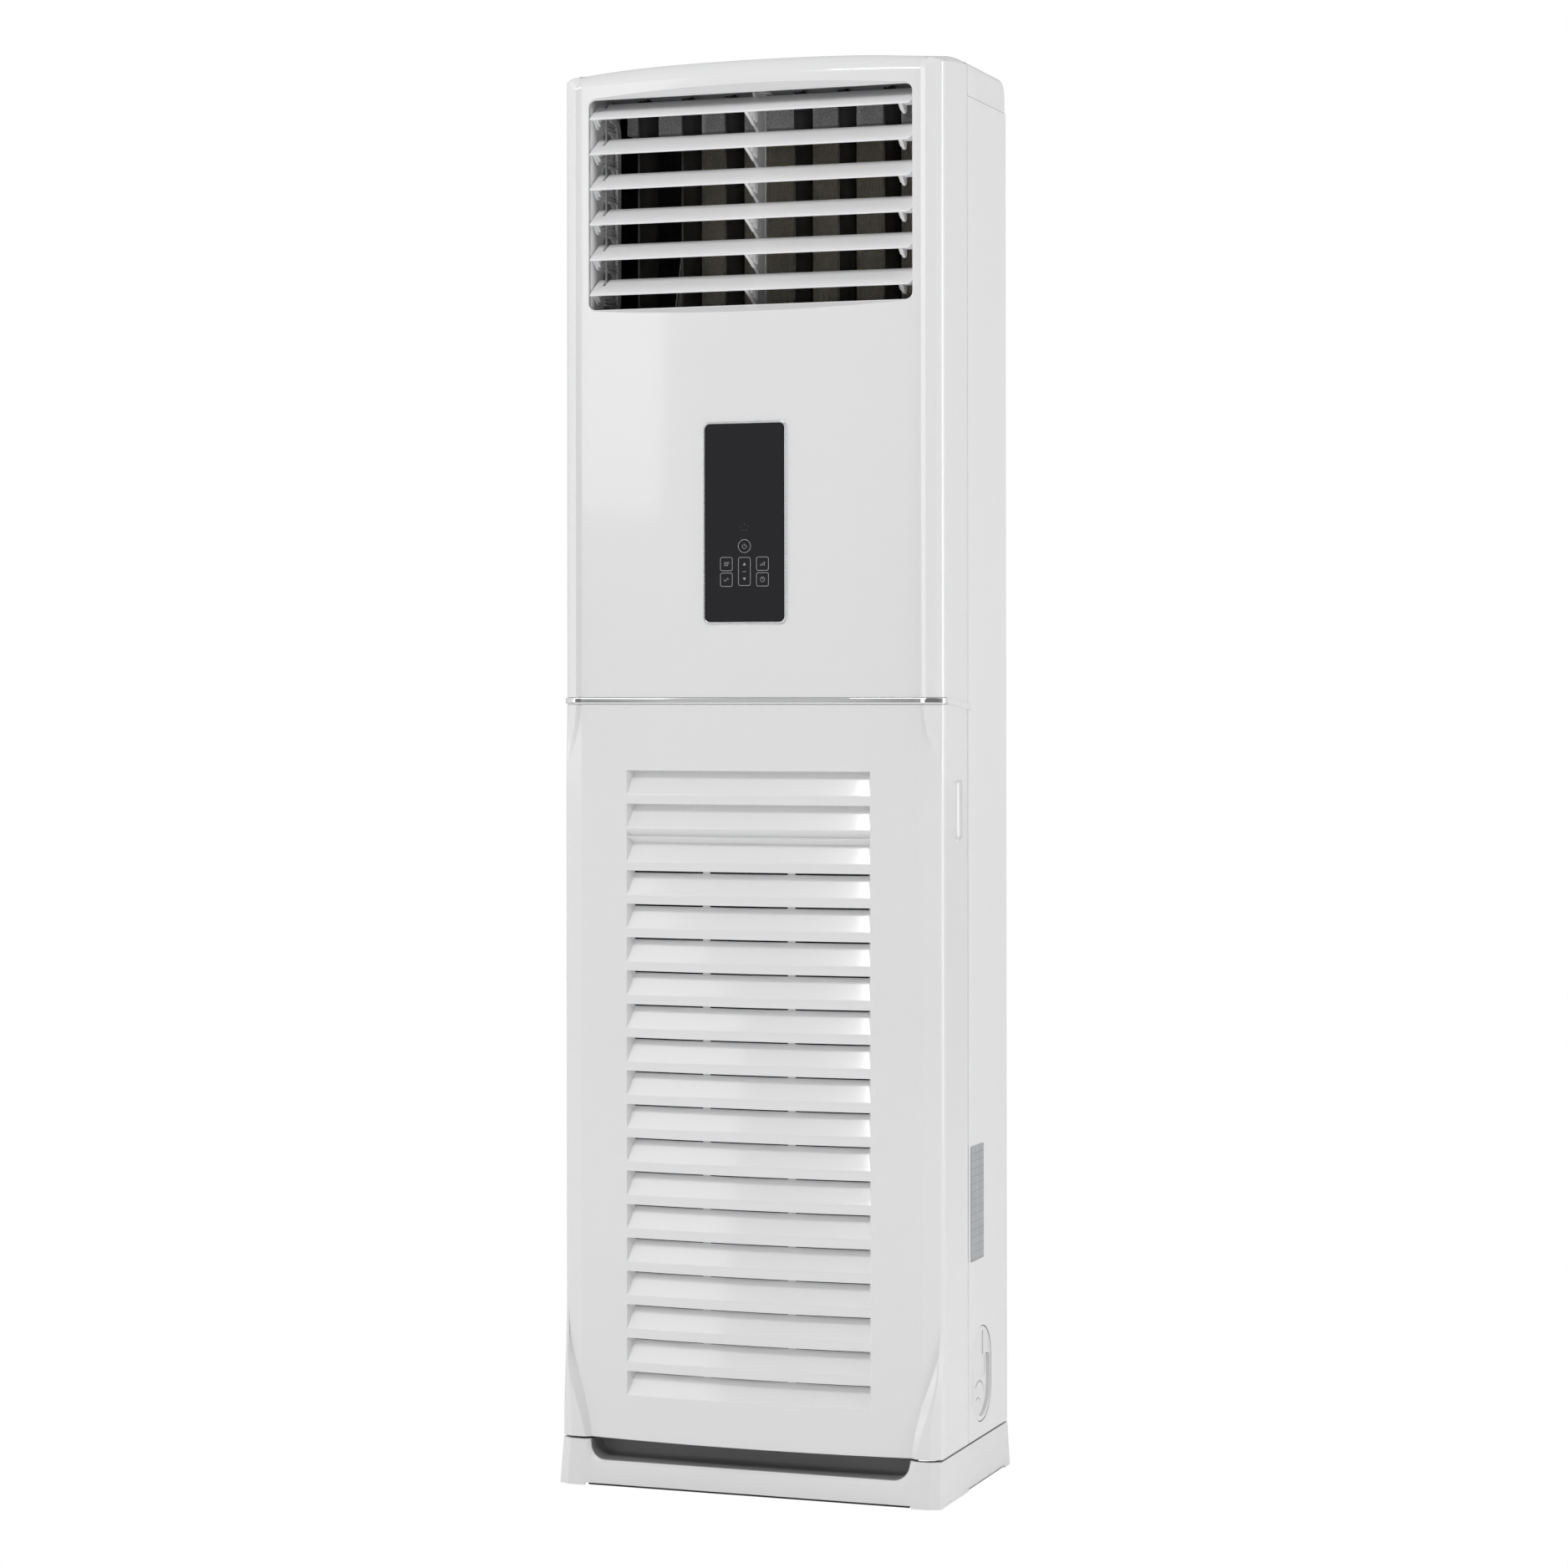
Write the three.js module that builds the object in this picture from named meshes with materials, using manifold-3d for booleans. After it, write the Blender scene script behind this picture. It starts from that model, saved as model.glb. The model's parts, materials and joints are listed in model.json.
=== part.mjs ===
// Floor standing air conditioner, upright column type, as an assembly of separate pieces.
// Millimetres, +Z up, front faces -Y, +X to the right of someone facing the front.
// Origin: on the floor, at the centre of the footprint.
import * as THREE from "three";
import { mergeVertices } from "three/addons/utils/BufferGeometryUtils.js";
import Module from "manifold-3d";

// ---- driving dimensions -------------------------------------------------
const HEIGHT = 1750; // floor to the crest of the crown
const FRONT = -134; // plane of the front face's upright edges
const HALF_W = 245.2; // outer face of the plastic sides
const STEEL_HALF_W = 245.0; // outer face of the steel sides
const BOW = 14; // how far the front face swells forward at its middle
const BEAD_X = 220; // where the bowed face ends and the corner begins
const SPLIT_Y = 108; // depth of the joint between mouldings and steel sides, from FRONT
const BACK_Y = 275; // outer face of the steel back, from FRONT
const SHELL = 3; // wall of the mouldings
const STEEL = 1.2; // wall of the steel sheets
const GAP = 0.3; // clearance between touching pieces

const PLINTH_TOP = 55;
const PAN_TOP = 57.3;
const LOWER_Z = [57.8, 959.2];
const TRIM_Z = [959.5, 966.7];
const UPPER_Z = [967, 1701]; // straight part of the upper moulding
const CAP_Z = [1701.4, 1743]; // cap behind the crown

const OUTLET_X = 207;
const OUTLET_Z = [1445, 1701];

const BLADE_COUNT = 6;
const BLADE_PITCH = 43.4;
const BLADE_PIVOT_Y = 19.1; // from FRONT
const BLADE_PIVOT_Z = 1683.5; // top blade
const BLADE_CHORD = 38;
const BLADE_THICK = 2.2;
const BLADE_LIFT = 5; // blade surface above its pivot
const BLADE_CAMBER = 2;
const BLADE_TILT = 28; // degrees, front edge down
const BLADE_HALF_LEN = 204.5;
const BLADE_PIN_R = 2;
const BLADE_LINK = { chord: 11, normal: 7.4, x: [-198, -195], width: 6, pinR: 1.4, holeR: 1.9 };

const VANE_X = [-160, -102, -45, 45, 102, 160];
const VANE_Y = 74; // pivot, from FRONT
const VANE_HALF_DEPTH = 32;
const VANE_THICK = 2.2;
const VANE_Z = [1447, 1707];
const VANE_PIN_R = 2.5;
const VANE_LINK_Y = 98; // from FRONT
const VANE_LINK_Z = [1442, 1445];

const DISPLAY = { halfW: 54, z: [1056, 1302], ring: 2.7 };

const ROW_COUNT = 19; // intake rows
const BLIND_ROWS = 2; // the first rows have no slit
const ROW_TOP = 877.7;
const ROW_PITCH = 40.9;
const ROW_HEIGHT = 29.5;
const ROW_HALF_W = 157.5;
const ROW_DEPTH = 13;
const ROW_SLIT = 9;
const WEB_X = 55;
const WEB_W = 9.3;

const GRIP = { y: [51, 83], z: [794, 867.6], depth: 12 };

const FAN = { x: -10, z: 395, y: [62, 222], wheelR: 160, wheelY: [78, 208], shaftR: 6 };
const COIL = { x: [-150, 205], front: [60, 1180], top: [215, 1677], thick: 40 };

// ---- helpers ------------------------------------------------------------
const wasm = await Module();
wasm.setup();
const Y = (s) => FRONT + s;

function toSolid(shape) {
  if (shape instanceof wasm.Manifold) return shape;
  const g = shape.clone();
  g.deleteAttribute("normal");
  g.deleteAttribute("uv");
  const m = mergeVertices(g, 1e-4);
  return new wasm.Manifold(
    new wasm.Mesh({
      numProp: 3,
      vertProperties: new Float32Array(m.attributes.position.array),
      triVerts: new Uint32Array(m.index.array),
    }),
  );
}
function toGeometry(solid) {
  const m = solid.getMesh();
  const v = new Float32Array(m.numVert * 3);
  for (let i = 0; i < m.numVert; i++)
    v.set(m.vertProperties.subarray(i * m.numProp, i * m.numProp + 3), i * 3);
  const g = new THREE.BufferGeometry();
  g.setAttribute("position", new THREE.BufferAttribute(v, 3));
  g.setIndex(new THREE.BufferAttribute(new Uint32Array(m.triVerts), 1));
  return g;
}
const join = (...shapes) => shapes.map(toSolid).reduce((a, b) => a.add(b));
const cut = (base, ...tools) =>
  tools.map(toSolid).reduce((a, b) => a.subtract(b), toSolid(base));

const box = (x0, x1, y0, y1, z0, z1) =>
  new THREE.BoxGeometry(x1 - x0, y1 - y0, z1 - z0).translate(
    (x0 + x1) / 2,
    (y0 + y1) / 2,
    (z0 + z1) / 2,
  );
const outline = (points) => new THREE.Shape(points.map(([a, b]) => new THREE.Vector2(a, b)));
const extrude = (points, depth, holes = []) => {
  const shape = outline(points);
  for (const h of holes) shape.holes.push(new THREE.Path(h.map(([a, b]) => new THREE.Vector2(a, b))));
  return new THREE.ExtrudeGeometry(shape, { depth, bevelEnabled: false, steps: 1 });
};
// plan outline (x, y) raised along Z
const prismZ = (points, z0, z1) => extrude(points, z1 - z0).translate(0, 0, z0);
// front outline (x, z) carried along Y
const prismY = (points, y0, y1) => extrude(points, y1 - y0).rotateX(Math.PI / 2).translate(0, y1, 0);
// side outline (y, z) carried along X
const TO_X = new THREE.Matrix4().set(0, 0, 1, 0, 1, 0, 0, 0, 0, 1, 0, 0, 0, 0, 0, 1);
const prismX = (points, x0, x1) => extrude(points, x1 - x0).applyMatrix4(TO_X).translate(x0, 0, 0);
const cylinder = (axis, r, a, b, p, q, sides = 24) => {
  const g = new THREE.CylinderGeometry(r, r, b - a, sides);
  if (axis === "x") g.rotateZ(Math.PI / 2).translate((a + b) / 2, p, q);
  if (axis === "y") g.translate(p, (a + b) / 2, q);
  if (axis === "z") g.rotateX(Math.PI / 2).translate(p, q, (a + b) / 2);
  return g;
};
const circle = (x, y, r, n = 24) =>
  Array.from({ length: n }, (_, i) => [
    x + r * Math.cos((i * 2 * Math.PI) / n),
    y + r * Math.sin((i * 2 * Math.PI) / n),
  ]);
// closed solid through a row of outlines; flat tells which coordinate each outline is flat in
function loft(sections, flat) {
  const n = sections[0].length;
  const pick = { x: [1, 2], y: [2, 0], z: [0, 1] }[flat];
  const position = sections.flat(2);
  const index = [];
  for (let s = 0; s + 1 < sections.length; s++)
    for (let i = 0; i < n; i++) {
      const a = s * n + i,
        b = s * n + ((i + 1) % n),
        c = a + n,
        d = b + n;
      index.push(a, b, d, a, d, c);
    }
  for (const [s, flip] of [
    [0, true],
    [sections.length - 1, false],
  ]) {
    const contour = sections[s].map((p) => new THREE.Vector2(p[pick[0]], p[pick[1]]));
    for (const [a, b, c] of THREE.ShapeUtils.triangulateShape(contour, []))
      index.push(...(flip ? [s * n + a, s * n + c, s * n + b] : [s * n + a, s * n + b, s * n + c]));
  }
  let volume = 0;
  const v = (i) => new THREE.Vector3(...position.slice(i * 3, i * 3 + 3));
  for (let i = 0; i < index.length; i += 3)
    volume += v(index[i]).dot(v(index[i + 1]).cross(v(index[i + 2])));
  if (volume < 0)
    for (let i = 0; i < index.length; i += 3) [index[i + 1], index[i + 2]] = [index[i + 2], index[i + 1]];
  return new THREE.BufferGeometry()
    .setAttribute("position", new THREE.BufferAttribute(new Float32Array(position), 3))
    .setIndex(index);
}
const mirrorX = (points) => points.map(([x, ...rest]) => [-x, ...rest]);

// ---- materials ----------------------------------------------------------
const finish = (color, roughness, metalness = 0) =>
  new THREE.MeshStandardMaterial({ color, roughness, metalness });
const WHITE = () => finish(0xe4e5e6, 0.22);
const STEEL_WHITE = () => finish(0xe4e6e6, 0.35);
const CHROME = () => finish(0xd8d9da, 0.12, 1);
const BLACK = () => finish(0x1b1b1c, 0.4);
const GREY = () => finish(0x8a8c8e, 0.5);
const ZINC = () => finish(0xa9abac, 0.4, 0.9);
const COPPER = () => finish(0xb87348, 0.3, 1);

const root = new THREE.Group();
root.name = "floor_standing_air_conditioner";
function piece(name, shape, material, parent = root) {
  const mesh = new THREE.Mesh(toGeometry(toSolid(shape)), material);
  mesh.name = name;
  parent.add(mesh);
  return mesh;
}

// ---- plan outline of the front mouldings --------------------------------
const BOW_X = [0, 73, 147, BEAD_X];
const bowY = (x) => -BOW * (1 - (x / BEAD_X) ** 2);
// the same, along the flats between the outline's points
const flatY = (x) => {
  const i = BOW_X.findIndex((v, k) => k > 0 && Math.abs(x) <= v);
  const [a, b] = [BOW_X[i - 1], BOW_X[i]];
  return bowY(a) + ((bowY(b) - bowY(a)) * (Math.abs(x) - a)) / (b - a);
};
// corner: points from the end of the bowed face to the side, for one side
function plan(corner, back, inset = 0, from = 0) {
  const half = [
    ...BOW_X.slice(0, -1).map((x) => [x, bowY(x) + from]),
    ...corner.map(([x, y]) => [x, y]),
    [HALF_W - inset, back],
  ];
  const left = mirrorX(half.slice(1)).reverse();
  return [...left, ...half].map(([x, y]) => [x, Y(y)]);
}
const UPPER_CORNER = [
  [BEAD_X, 0],
  [226.5, -3],
  [241, 9],
  [HALF_W, 15],
];
const UPPER_CORNER_IN = [
  [BEAD_X - 1.5, SHELL],
  [226, 0.8],
  [238.6, 11.4],
  [HALF_W - SHELL, 16.5],
];
const LOWER_CORNER = [
  [BEAD_X, 0],
  [238.5, 6.5],
  [243.6, 9.5],
  [HALF_W, 14],
];
const LOWER_CORNER_IN = [
  [BEAD_X - 1, SHELL],
  [237, 9.6],
  [240.8, 12],
  [HALF_W - SHELL, 15.5],
];

// ---- plinth and floor of the cabinet ------------------------------------
{
  const foot = (x, y, b, yb, z) =>
    [
      [-x, y + 7],
      [-b, y],
      [b, y],
      [x, y + 7],
      [x, yb],
      [-x, yb],
    ].map(([px, py]) => [px, Y(py), z]);
  const outer = loft([foot(246, -15.5, 233, 284, 0), foot(243, -12.5, 231, 278, PLINTH_TOP)], "z");
  const underside = box(-239, 239, Y(-8), Y(276), -1, 24);
  const upper = box(-238.5, 238.5, Y(-8), Y(273), 28, 60);
  let plinth = cut(outer, underside, upper);
  const pads = [-1, 1].flatMap((side) => [
    box(...(side < 0 ? [-240, -212] : [212, 240]), Y(-8.5), Y(100), 0, 25),
    box(...(side < 0 ? [-240, -212] : [212, 240]), Y(238), Y(277), 0, 25),
  ]);
  plinth = join(plinth, ...pads, box(-239, 239, Y(30), Y(33), 27, PLINTH_TOP));
  plinth = cut(
    plinth,
    box(-206, 206, Y(-30), Y(2), 31, 70),
    box(-210, 210, Y(-30), Y(1), -1, 3.5),
    box(-260, 260, Y(104), Y(234), -1, 3.5),
    box(-200, 200, Y(260), Y(300), -1, 3.5),
  );
  piece("base_plinth", plinth, finish(0xdcdddd, 0.45));
}
piece("base_pan", box(-240, 240, Y(12), Y(272), PLINTH_TOP + GAP, PAN_TOP), ZINC());

// ---- steel cabinet ------------------------------------------------------
{
  const z0 = LOWER_Z[0],
    z1 = UPPER_Z[1];
  // folded sheet: flat side with a lip at the front and a flange at the back
  const sheet = (side) =>
    prismZ(
      [
        [0, SPLIT_Y + GAP],
        [0, BACK_Y],
        [14, BACK_Y],
        [14, BACK_Y - STEEL],
        [STEEL, BACK_Y - STEEL],
        [STEEL, SPLIT_Y + GAP + STEEL],
        [9, SPLIT_Y + GAP + STEEL],
        [9, SPLIT_Y + GAP],
      ].map(([d, s]) => [side * (STEEL_HALF_W - d), Y(s)]),
      z0,
      z1,
    );
  const arc = (cy, cz, r, a0, a1, n) =>
    Array.from({ length: n + 1 }, (_, i) => {
      const a = ((a0 + ((a1 - a0) * i) / n) * Math.PI) / 180;
      return [Y(cy + r * Math.cos(a)), cz + r * Math.sin(a)].map((v) => Math.round(v * 2) / 2);
    });
  const obround = (r) => [...arc(162.5, 153.5, r, 0, 180, 8), ...arc(162.5, 115.5, r, 180, 360, 8)];
  piece(
    "right_side_panel",
    cut(sheet(1), prismX(obround(40), STEEL_HALF_W - 5, STEEL_HALF_W + 5)),
    STEEL_WHITE(),
  );
  const plate = join(
    prismX(obround(39.6), STEEL_HALF_W - 2, STEEL_HALF_W - 0.6),
    prismX(obround(43.5), STEEL_HALF_W - 3.2, STEEL_HALF_W - 1.7),
  );
  piece("piping_plate", plate, WHITE());
  piece("left_side_panel", sheet(-1), STEEL_WHITE());
  const back = cut(
    box(-230.6, 230.6, Y(BACK_Y - STEEL), Y(BACK_Y), z0, z1),
    cylinder("y", 12.3, Y(BACK_Y - 5), Y(BACK_Y + 5), 180, 120, 16),
  );
  piece("back_panel", back, STEEL_WHITE());
  const ring = (inset, z, low = 0) =>
    [
      [-HALF_W + inset, SPLIT_Y + GAP],
      [HALF_W - inset, SPLIT_Y + GAP],
      [HALF_W - inset, BACK_Y - 12 - low],
      [HALF_W - 12 - inset, BACK_Y - inset],
      [-HALF_W + 12 + inset, BACK_Y - inset],
      [-HALF_W + inset, BACK_Y - 12 - low],
    ].map(([x, y]) => [x, Y(y), z]);
  const cap = cut(
    loft([ring(0.2, CAP_Z[0]), ring(0.2, CAP_Z[1] - 9), ring(3, CAP_Z[1] - 3), ring(10, CAP_Z[1])], "z"),
    box(-241.5, 241.5, Y(SPLIT_Y + 3), Y(BACK_Y - 14), CAP_Z[0] - 1, CAP_Z[1] - 5),
    box(-233, 233, Y(BACK_Y - 16), Y(BACK_Y - 3), CAP_Z[0] - 1, CAP_Z[1] - 9),
  );
  piece("top_cover", cap, WHITE());
}

// ---- upper front moulding -----------------------------------------------
{
  const at = (points, z) => points.map(([x, y]) => [x, y, z]);
  // the crown: each outline steps in from the one below
  const crown = (inset, z) =>
    at(
      plan(UPPER_CORNER, SPLIT_Y).map(([x, y]) => {
        const k = (HALF_W - inset) / HALF_W;
        return [x * k, y > Y(60) ? y : y + inset * 0.9];
      }),
      z,
    );
  const outer = loft(
    [crown(0, UPPER_Z[0]), crown(0, 1724), crown(3.5, 1738), crown(11, 1746), crown(26, HEIGHT)],
    "z",
  );
  const inside = (inset, z) =>
    at(
      plan(UPPER_CORNER_IN, SPLIT_Y + 5, SHELL, SHELL).map(([x, y]) => {
        const k = (HALF_W - inset) / HALF_W;
        return [x * k, y > Y(60) ? y : y + inset * 0.9];
      }),
      z,
    );
  const inner = loft([inside(0, UPPER_Z[0] - 1), inside(0, 1722), inside(4, 1735), inside(12, 1742)], "z");
  const shell = cut(
    outer,
    inner,
    box(-OUTLET_X, OUTLET_X, Y(-40), Y(20), OUTLET_Z[0], OUTLET_Z[1]),
    box(
      -DISPLAY.halfW - GAP,
      DISPLAY.halfW + GAP,
      Y(-40),
      Y(10),
      DISPLAY.z[0] - GAP,
      DISPLAY.z[1] + GAP,
    ),
  );
  piece("upper_front_panel", shell, WHITE());
}

// ---- lower front moulding with the intake rows and finger grips ---------
{
  const [z0, z1] = LOWER_Z;
  const outer = prismZ(plan(LOWER_CORNER, SPLIT_Y), z0, z1);
  const inner = prismZ(plan(LOWER_CORNER_IN, SPLIT_Y + 5, SHELL, SHELL), z0 - 1, z1 + 1);
  let shell = cut(outer, inner);
  const rows = Array.from({ length: ROW_COUNT }, (_, i) => ROW_TOP - ROW_PITCH * i);
  shell = cut(
    shell,
    ...rows.map((top) => box(-ROW_HALF_W, ROW_HALF_W, Y(-40), Y(20), top - ROW_HEIGHT, top)),
  );
  const STATIONS = [-ROW_HALF_W - 1, -147, -73, 0, 73, 147, ROW_HALF_W + 1];
  const ramps = rows.map((top, i) => {
    const low = top - ROW_HEIGHT;
    const high = i < BLIND_ROWS ? top + 0.5 : top - ROW_SLIT;
    const slope = ROW_DEPTH / ROW_HEIGHT;
    return loft(
      STATIONS.map((x) => {
        const f = Y(flatY(x));
        return [
          [x, f + 0.4, low - 0.5],
          [x, f + 2.9, low - 0.5],
          [x, f + slope * (high - low) + 2.9, high],
          [x, f + slope * (high - low) + 0.4, high],
        ];
      }),
      "x",
    );
  });
  const roofs = rows.slice(0, BLIND_ROWS).map((top) =>
    loft(
      STATIONS.map((x) => {
        const f = Y(flatY(x));
        return [
          [x, f + 0.5, top - 0.2],
          [x, f + ROW_DEPTH + 2.9, top - 0.2],
          [x, f + ROW_DEPTH + 2.9, top + 2],
          [x, f + 0.5, top + 2],
        ];
      }),
      "x",
    ),
  );
  const webs = rows.slice(BLIND_ROWS).flatMap((top) =>
    [-WEB_X, WEB_X].map((x) => {
      const f = flatY(x);
      const w = WEB_W / 2;
      return box(x - w, x + w, Y(f + 2), Y(f + ROW_DEPTH + 1), top - ROW_SLIT - 1.5, top + 1.5);
    }),
  );
  const f = flatY(ROW_HALF_W);
  const ends = [-1, 1].map((side) => {
    const x = side * (ROW_HALF_W + 1);
    return box(
      x - 1.2,
      x + 1.2,
      Y(f + 1.5),
      Y(f + ROW_DEPTH + 3),
      rows[ROW_COUNT - 1] - ROW_HEIGHT - 2,
      rows[0] + 2,
    );
  });
  const [gy0, gy1] = GRIP.y,
    [gz0, gz1] = GRIP.z;
  const pockets = [-1, 1].map((side) =>
    box(
      ...(side < 0 ? [-HALF_W + 1, -HALF_W + GRIP.depth + 2.5] : [HALF_W - GRIP.depth - 2.5, HALF_W - 1]),
      Y(gy0 - 2.5),
      Y(gy1 + 2.5),
      gz0 - 2.5,
      gz1 + 2.5,
    ),
  );
  shell = join(shell, ...ramps, ...roofs, ...webs, ...ends, ...pockets);
  shell = cut(
    shell,
    ...[-1, 1].map((side) =>
      box(
        ...(side < 0 ? [-HALF_W - 5, -HALF_W + GRIP.depth] : [HALF_W - GRIP.depth, HALF_W + 5]),
        Y(gy0),
        Y(gy1),
        gz0,
        gz1,
      ),
    ),
  );
  piece("lower_front_panel", shell, WHITE());
}

// ---- strips between the mouldings ---------------------------------------
{
  const strip = plan(UPPER_CORNER, 20).map(([x, y], i, all) => (i === 0 || i === all.length - 1 ? [x, Y(19)] : [x, y]));
  const proud = strip.map(([x, y]) => [x * 1.0028, y > Y(14) ? y : y - 2]);
  const hole = plan(UPPER_CORNER_IN, 25, SHELL, SHELL);
  piece("front_trim", cut(prismZ(proud, ...TRIM_Z), prismZ(hole, TRIM_Z[0] - 1, TRIM_Z[1] + 1)), CHROME());
  const side = [
    [Y(20), 958.2],
    [Y(119), 950.4],
    [Y(119), 956.8],
    [Y(20), 964.3],
  ];
  piece("right_trim", prismX(side, HALF_W + GAP, HALF_W + 1.5), WHITE());
  piece("left_trim", prismX(side, -HALF_W - 1.5, -HALF_W - GAP), WHITE());
}

// ---- touch panel --------------------------------------------------------
{
  const { halfW, z, ring } = DISPLAY;
  const y0 = Y(-15.2);
  piece(
    "display_bezel",
    cut(
      box(-halfW, halfW, y0, Y(-8), z[0], z[1]),
      box(-halfW + ring, halfW - ring, y0 - 5, Y(0), z[0] + ring, z[1] - ring),
    ),
    finish(0xb9bbbd, 0.3, 0.9),
  );
  const e = ring + GAP;
  piece(
    "display_glass",
    box(-halfW + e, halfW - e, y0 + 0.3, Y(-11.9), z[0] + e, z[1] - e),
    finish(0x0c0c0e, 0.08),
  );
  piece("display_board", box(-47, 47, Y(-11.4), Y(-9.8), z[0] + 8, z[1] - 8), finish(0x1f5a3a, 0.5));
}

// ---- air outlet ---------------------------------------------------------
const blades = Array.from({ length: BLADE_COUNT }, (_, i) => ({
  y: Y(BLADE_PIVOT_Y),
  z: BLADE_PIVOT_Z - BLADE_PITCH * i,
}));
const DRIVEN_BLADE = 2; // the blade the motor turns
{
  const ring = cut(
    box(-213, 213, Y(4), Y(104), 1437, 1715),
    box(-210, 210, Y(3), Y(105), 1440, 1712),
  );
  const frame = cut(
    ring,
    ...VANE_X.flatMap((x) => [
      cylinder("z", VANE_PIN_R + 0.5, 1430, 1441, x, Y(VANE_Y), 12),
      cylinder("z", VANE_PIN_R + 0.5, 1711, 1720, x, Y(VANE_Y), 12),
    ]),
    cylinder("x", BLADE_PIN_R + 0.4, 209, 214, blades[DRIVEN_BLADE].y, blades[DRIVEN_BLADE].z, 12),
  );
  piece("outlet_frame", frame, GREY());

  const bracket = (x0, x1) =>
    cut(
      box(x0, x1, Y(4.5), Y(60), 1440.3, 1711.7),
      ...blades.map((b) => cylinder("x", BLADE_PIN_R + 0.4, x0 - 1, x1 + 1, b.y, b.z, 12)),
      ...blades.map((b) => box(x0 - 1, x1 + 1, Y(33), Y(52), b.z - 13, b.z + 13)),
    );
  piece("left_blade_bracket", bracket(-209.6, -206.6), WHITE());
  piece("right_blade_bracket", bracket(206.6, 209.6), WHITE());
  piece(
    "centre_support",
    cut(
      box(-1.5, 1.5, Y(24), Y(60), 1440.3, 1711.7),
      ...blades.map((b) => cylinder("x", 22, -5, 5, b.y, b.z, 28)),
    ),
    WHITE(),
  );
}

// blades: outlines are given as chord (front to back) and normal, about the pivot
{
  const surface = (c) => BLADE_LIFT + BLADE_CAMBER * (1 - (c / (BLADE_CHORD / 2)) ** 2);
  const chord = [-19, -12.7, -6.3, 0, 6.3, 12.7, 19];
  const section = [
    ...chord.map((c) => [c, surface(c)]),
    ...[...chord].reverse().map((c) => [c, surface(c) + BLADE_THICK]),
  ];
  const { chord: lc, normal: ln, x: lx, width, pinR, holeR } = BLADE_LINK;
  blades.forEach((b, i) => {
    const group = new THREE.Group();
    group.position.set(0, b.y, b.z);
    group.rotation.x = THREE.MathUtils.degToRad(BLADE_TILT);
    root.add(group);
    const lug = [
      [-5, -3],
      [5, -3],
      [9, 8],
      [-9, 8],
    ];
    const end = i === DRIVEN_BLADE ? 212.8 : 209.2;
    const body = join(
      cut(prismX(section, -BLADE_HALF_LEN, BLADE_HALF_LEN), box(-199.5, -193.5, 2, 30, -5, 20)),
      prismX(lug, -BLADE_HALF_LEN, -BLADE_HALF_LEN + 2.4),
      prismX(lug, BLADE_HALF_LEN - 2.4, BLADE_HALF_LEN),
      cylinder("x", BLADE_PIN_R, -209.2, -BLADE_HALF_LEN + 1, 0, 0, 12),
      cylinder("x", BLADE_PIN_R, BLADE_HALF_LEN - 1, end, 0, 0, 12),
      cylinder("x", pinR, -200, -193, lc, ln, 8),
    );
    piece("blade_" + (i + 1), body, finish(0xdfe1e2, 0.3), group);
  });
  const t = THREE.MathUtils.degToRad(BLADE_TILT);
  const py = lc * Math.cos(t) - ln * Math.sin(t),
    pz = lc * Math.sin(t) + ln * Math.cos(t);
  const y = blades[0].y + py;
  const w = width / 2;
  piece(
    "blade_link",
    cut(
      box(lx[0], lx[1], y - w, y + w, blades[BLADE_COUNT - 1].z + pz - 5, blades[0].z + pz + 5),
      ...blades.map((b) => cylinder("x", holeR, lx[0] - 1, lx[1] + 1, y, b.z + pz, 8)),
    ),
    WHITE(),
  );
  const m = blades[DRIVEN_BLADE];
  piece("blade_motor", cylinder("x", 14, 213.4, 231, m.y, m.z, 24), ZINC());
}

// upright vanes and their link
{
  VANE_X.forEach((x, i) => {
    const group = new THREE.Group();
    group.position.set(x, Y(VANE_Y), 0);
    root.add(group);
    const h = VANE_THICK / 2,
      d = VANE_HALF_DEPTH;
    const side = [
      [-d, VANE_Z[0] + 3],
      [-d + 3, VANE_Z[0]],
      [d - 8, VANE_Z[0]],
      [d, VANE_Z[0] + 8],
      [d, VANE_Z[1] - 8],
      [d - 8, VANE_Z[1]],
      [-d + 3, VANE_Z[1]],
      [-d, VANE_Z[1] - 3],
    ];
    const body = join(
      prismX(side, -h, h),
      cylinder("z", VANE_PIN_R, 1437.4, VANE_Z[0] + 6, 0, 0, 12),
      cylinder("z", VANE_PIN_R, VANE_Z[1] - 6, 1714.5, 0, 0, 12),
      cylinder("z", 1.5, 1440.8, VANE_Z[0] + 6, 0, VANE_LINK_Y - VANE_Y, 8),
    );
    piece("vane_" + (i + 1), body, BLACK(), group);
  });
  const y = Y(VANE_LINK_Y);
  piece(
    "vane_link",
    cut(
      box(VANE_X[0] - 5, VANE_X[5] + 5, y - 4, y + 4, ...VANE_LINK_Z),
      ...VANE_X.map((x) => cylinder("z", 2, VANE_LINK_Z[0] - 1, VANE_LINK_Z[1] + 1, x, y, 8)),
    ),
    BLACK(),
  );
  piece("vane_motor", cylinder("z", 14, 1417, 1436.6, VANE_X[0], Y(VANE_Y), 24), ZINC());
}

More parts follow.
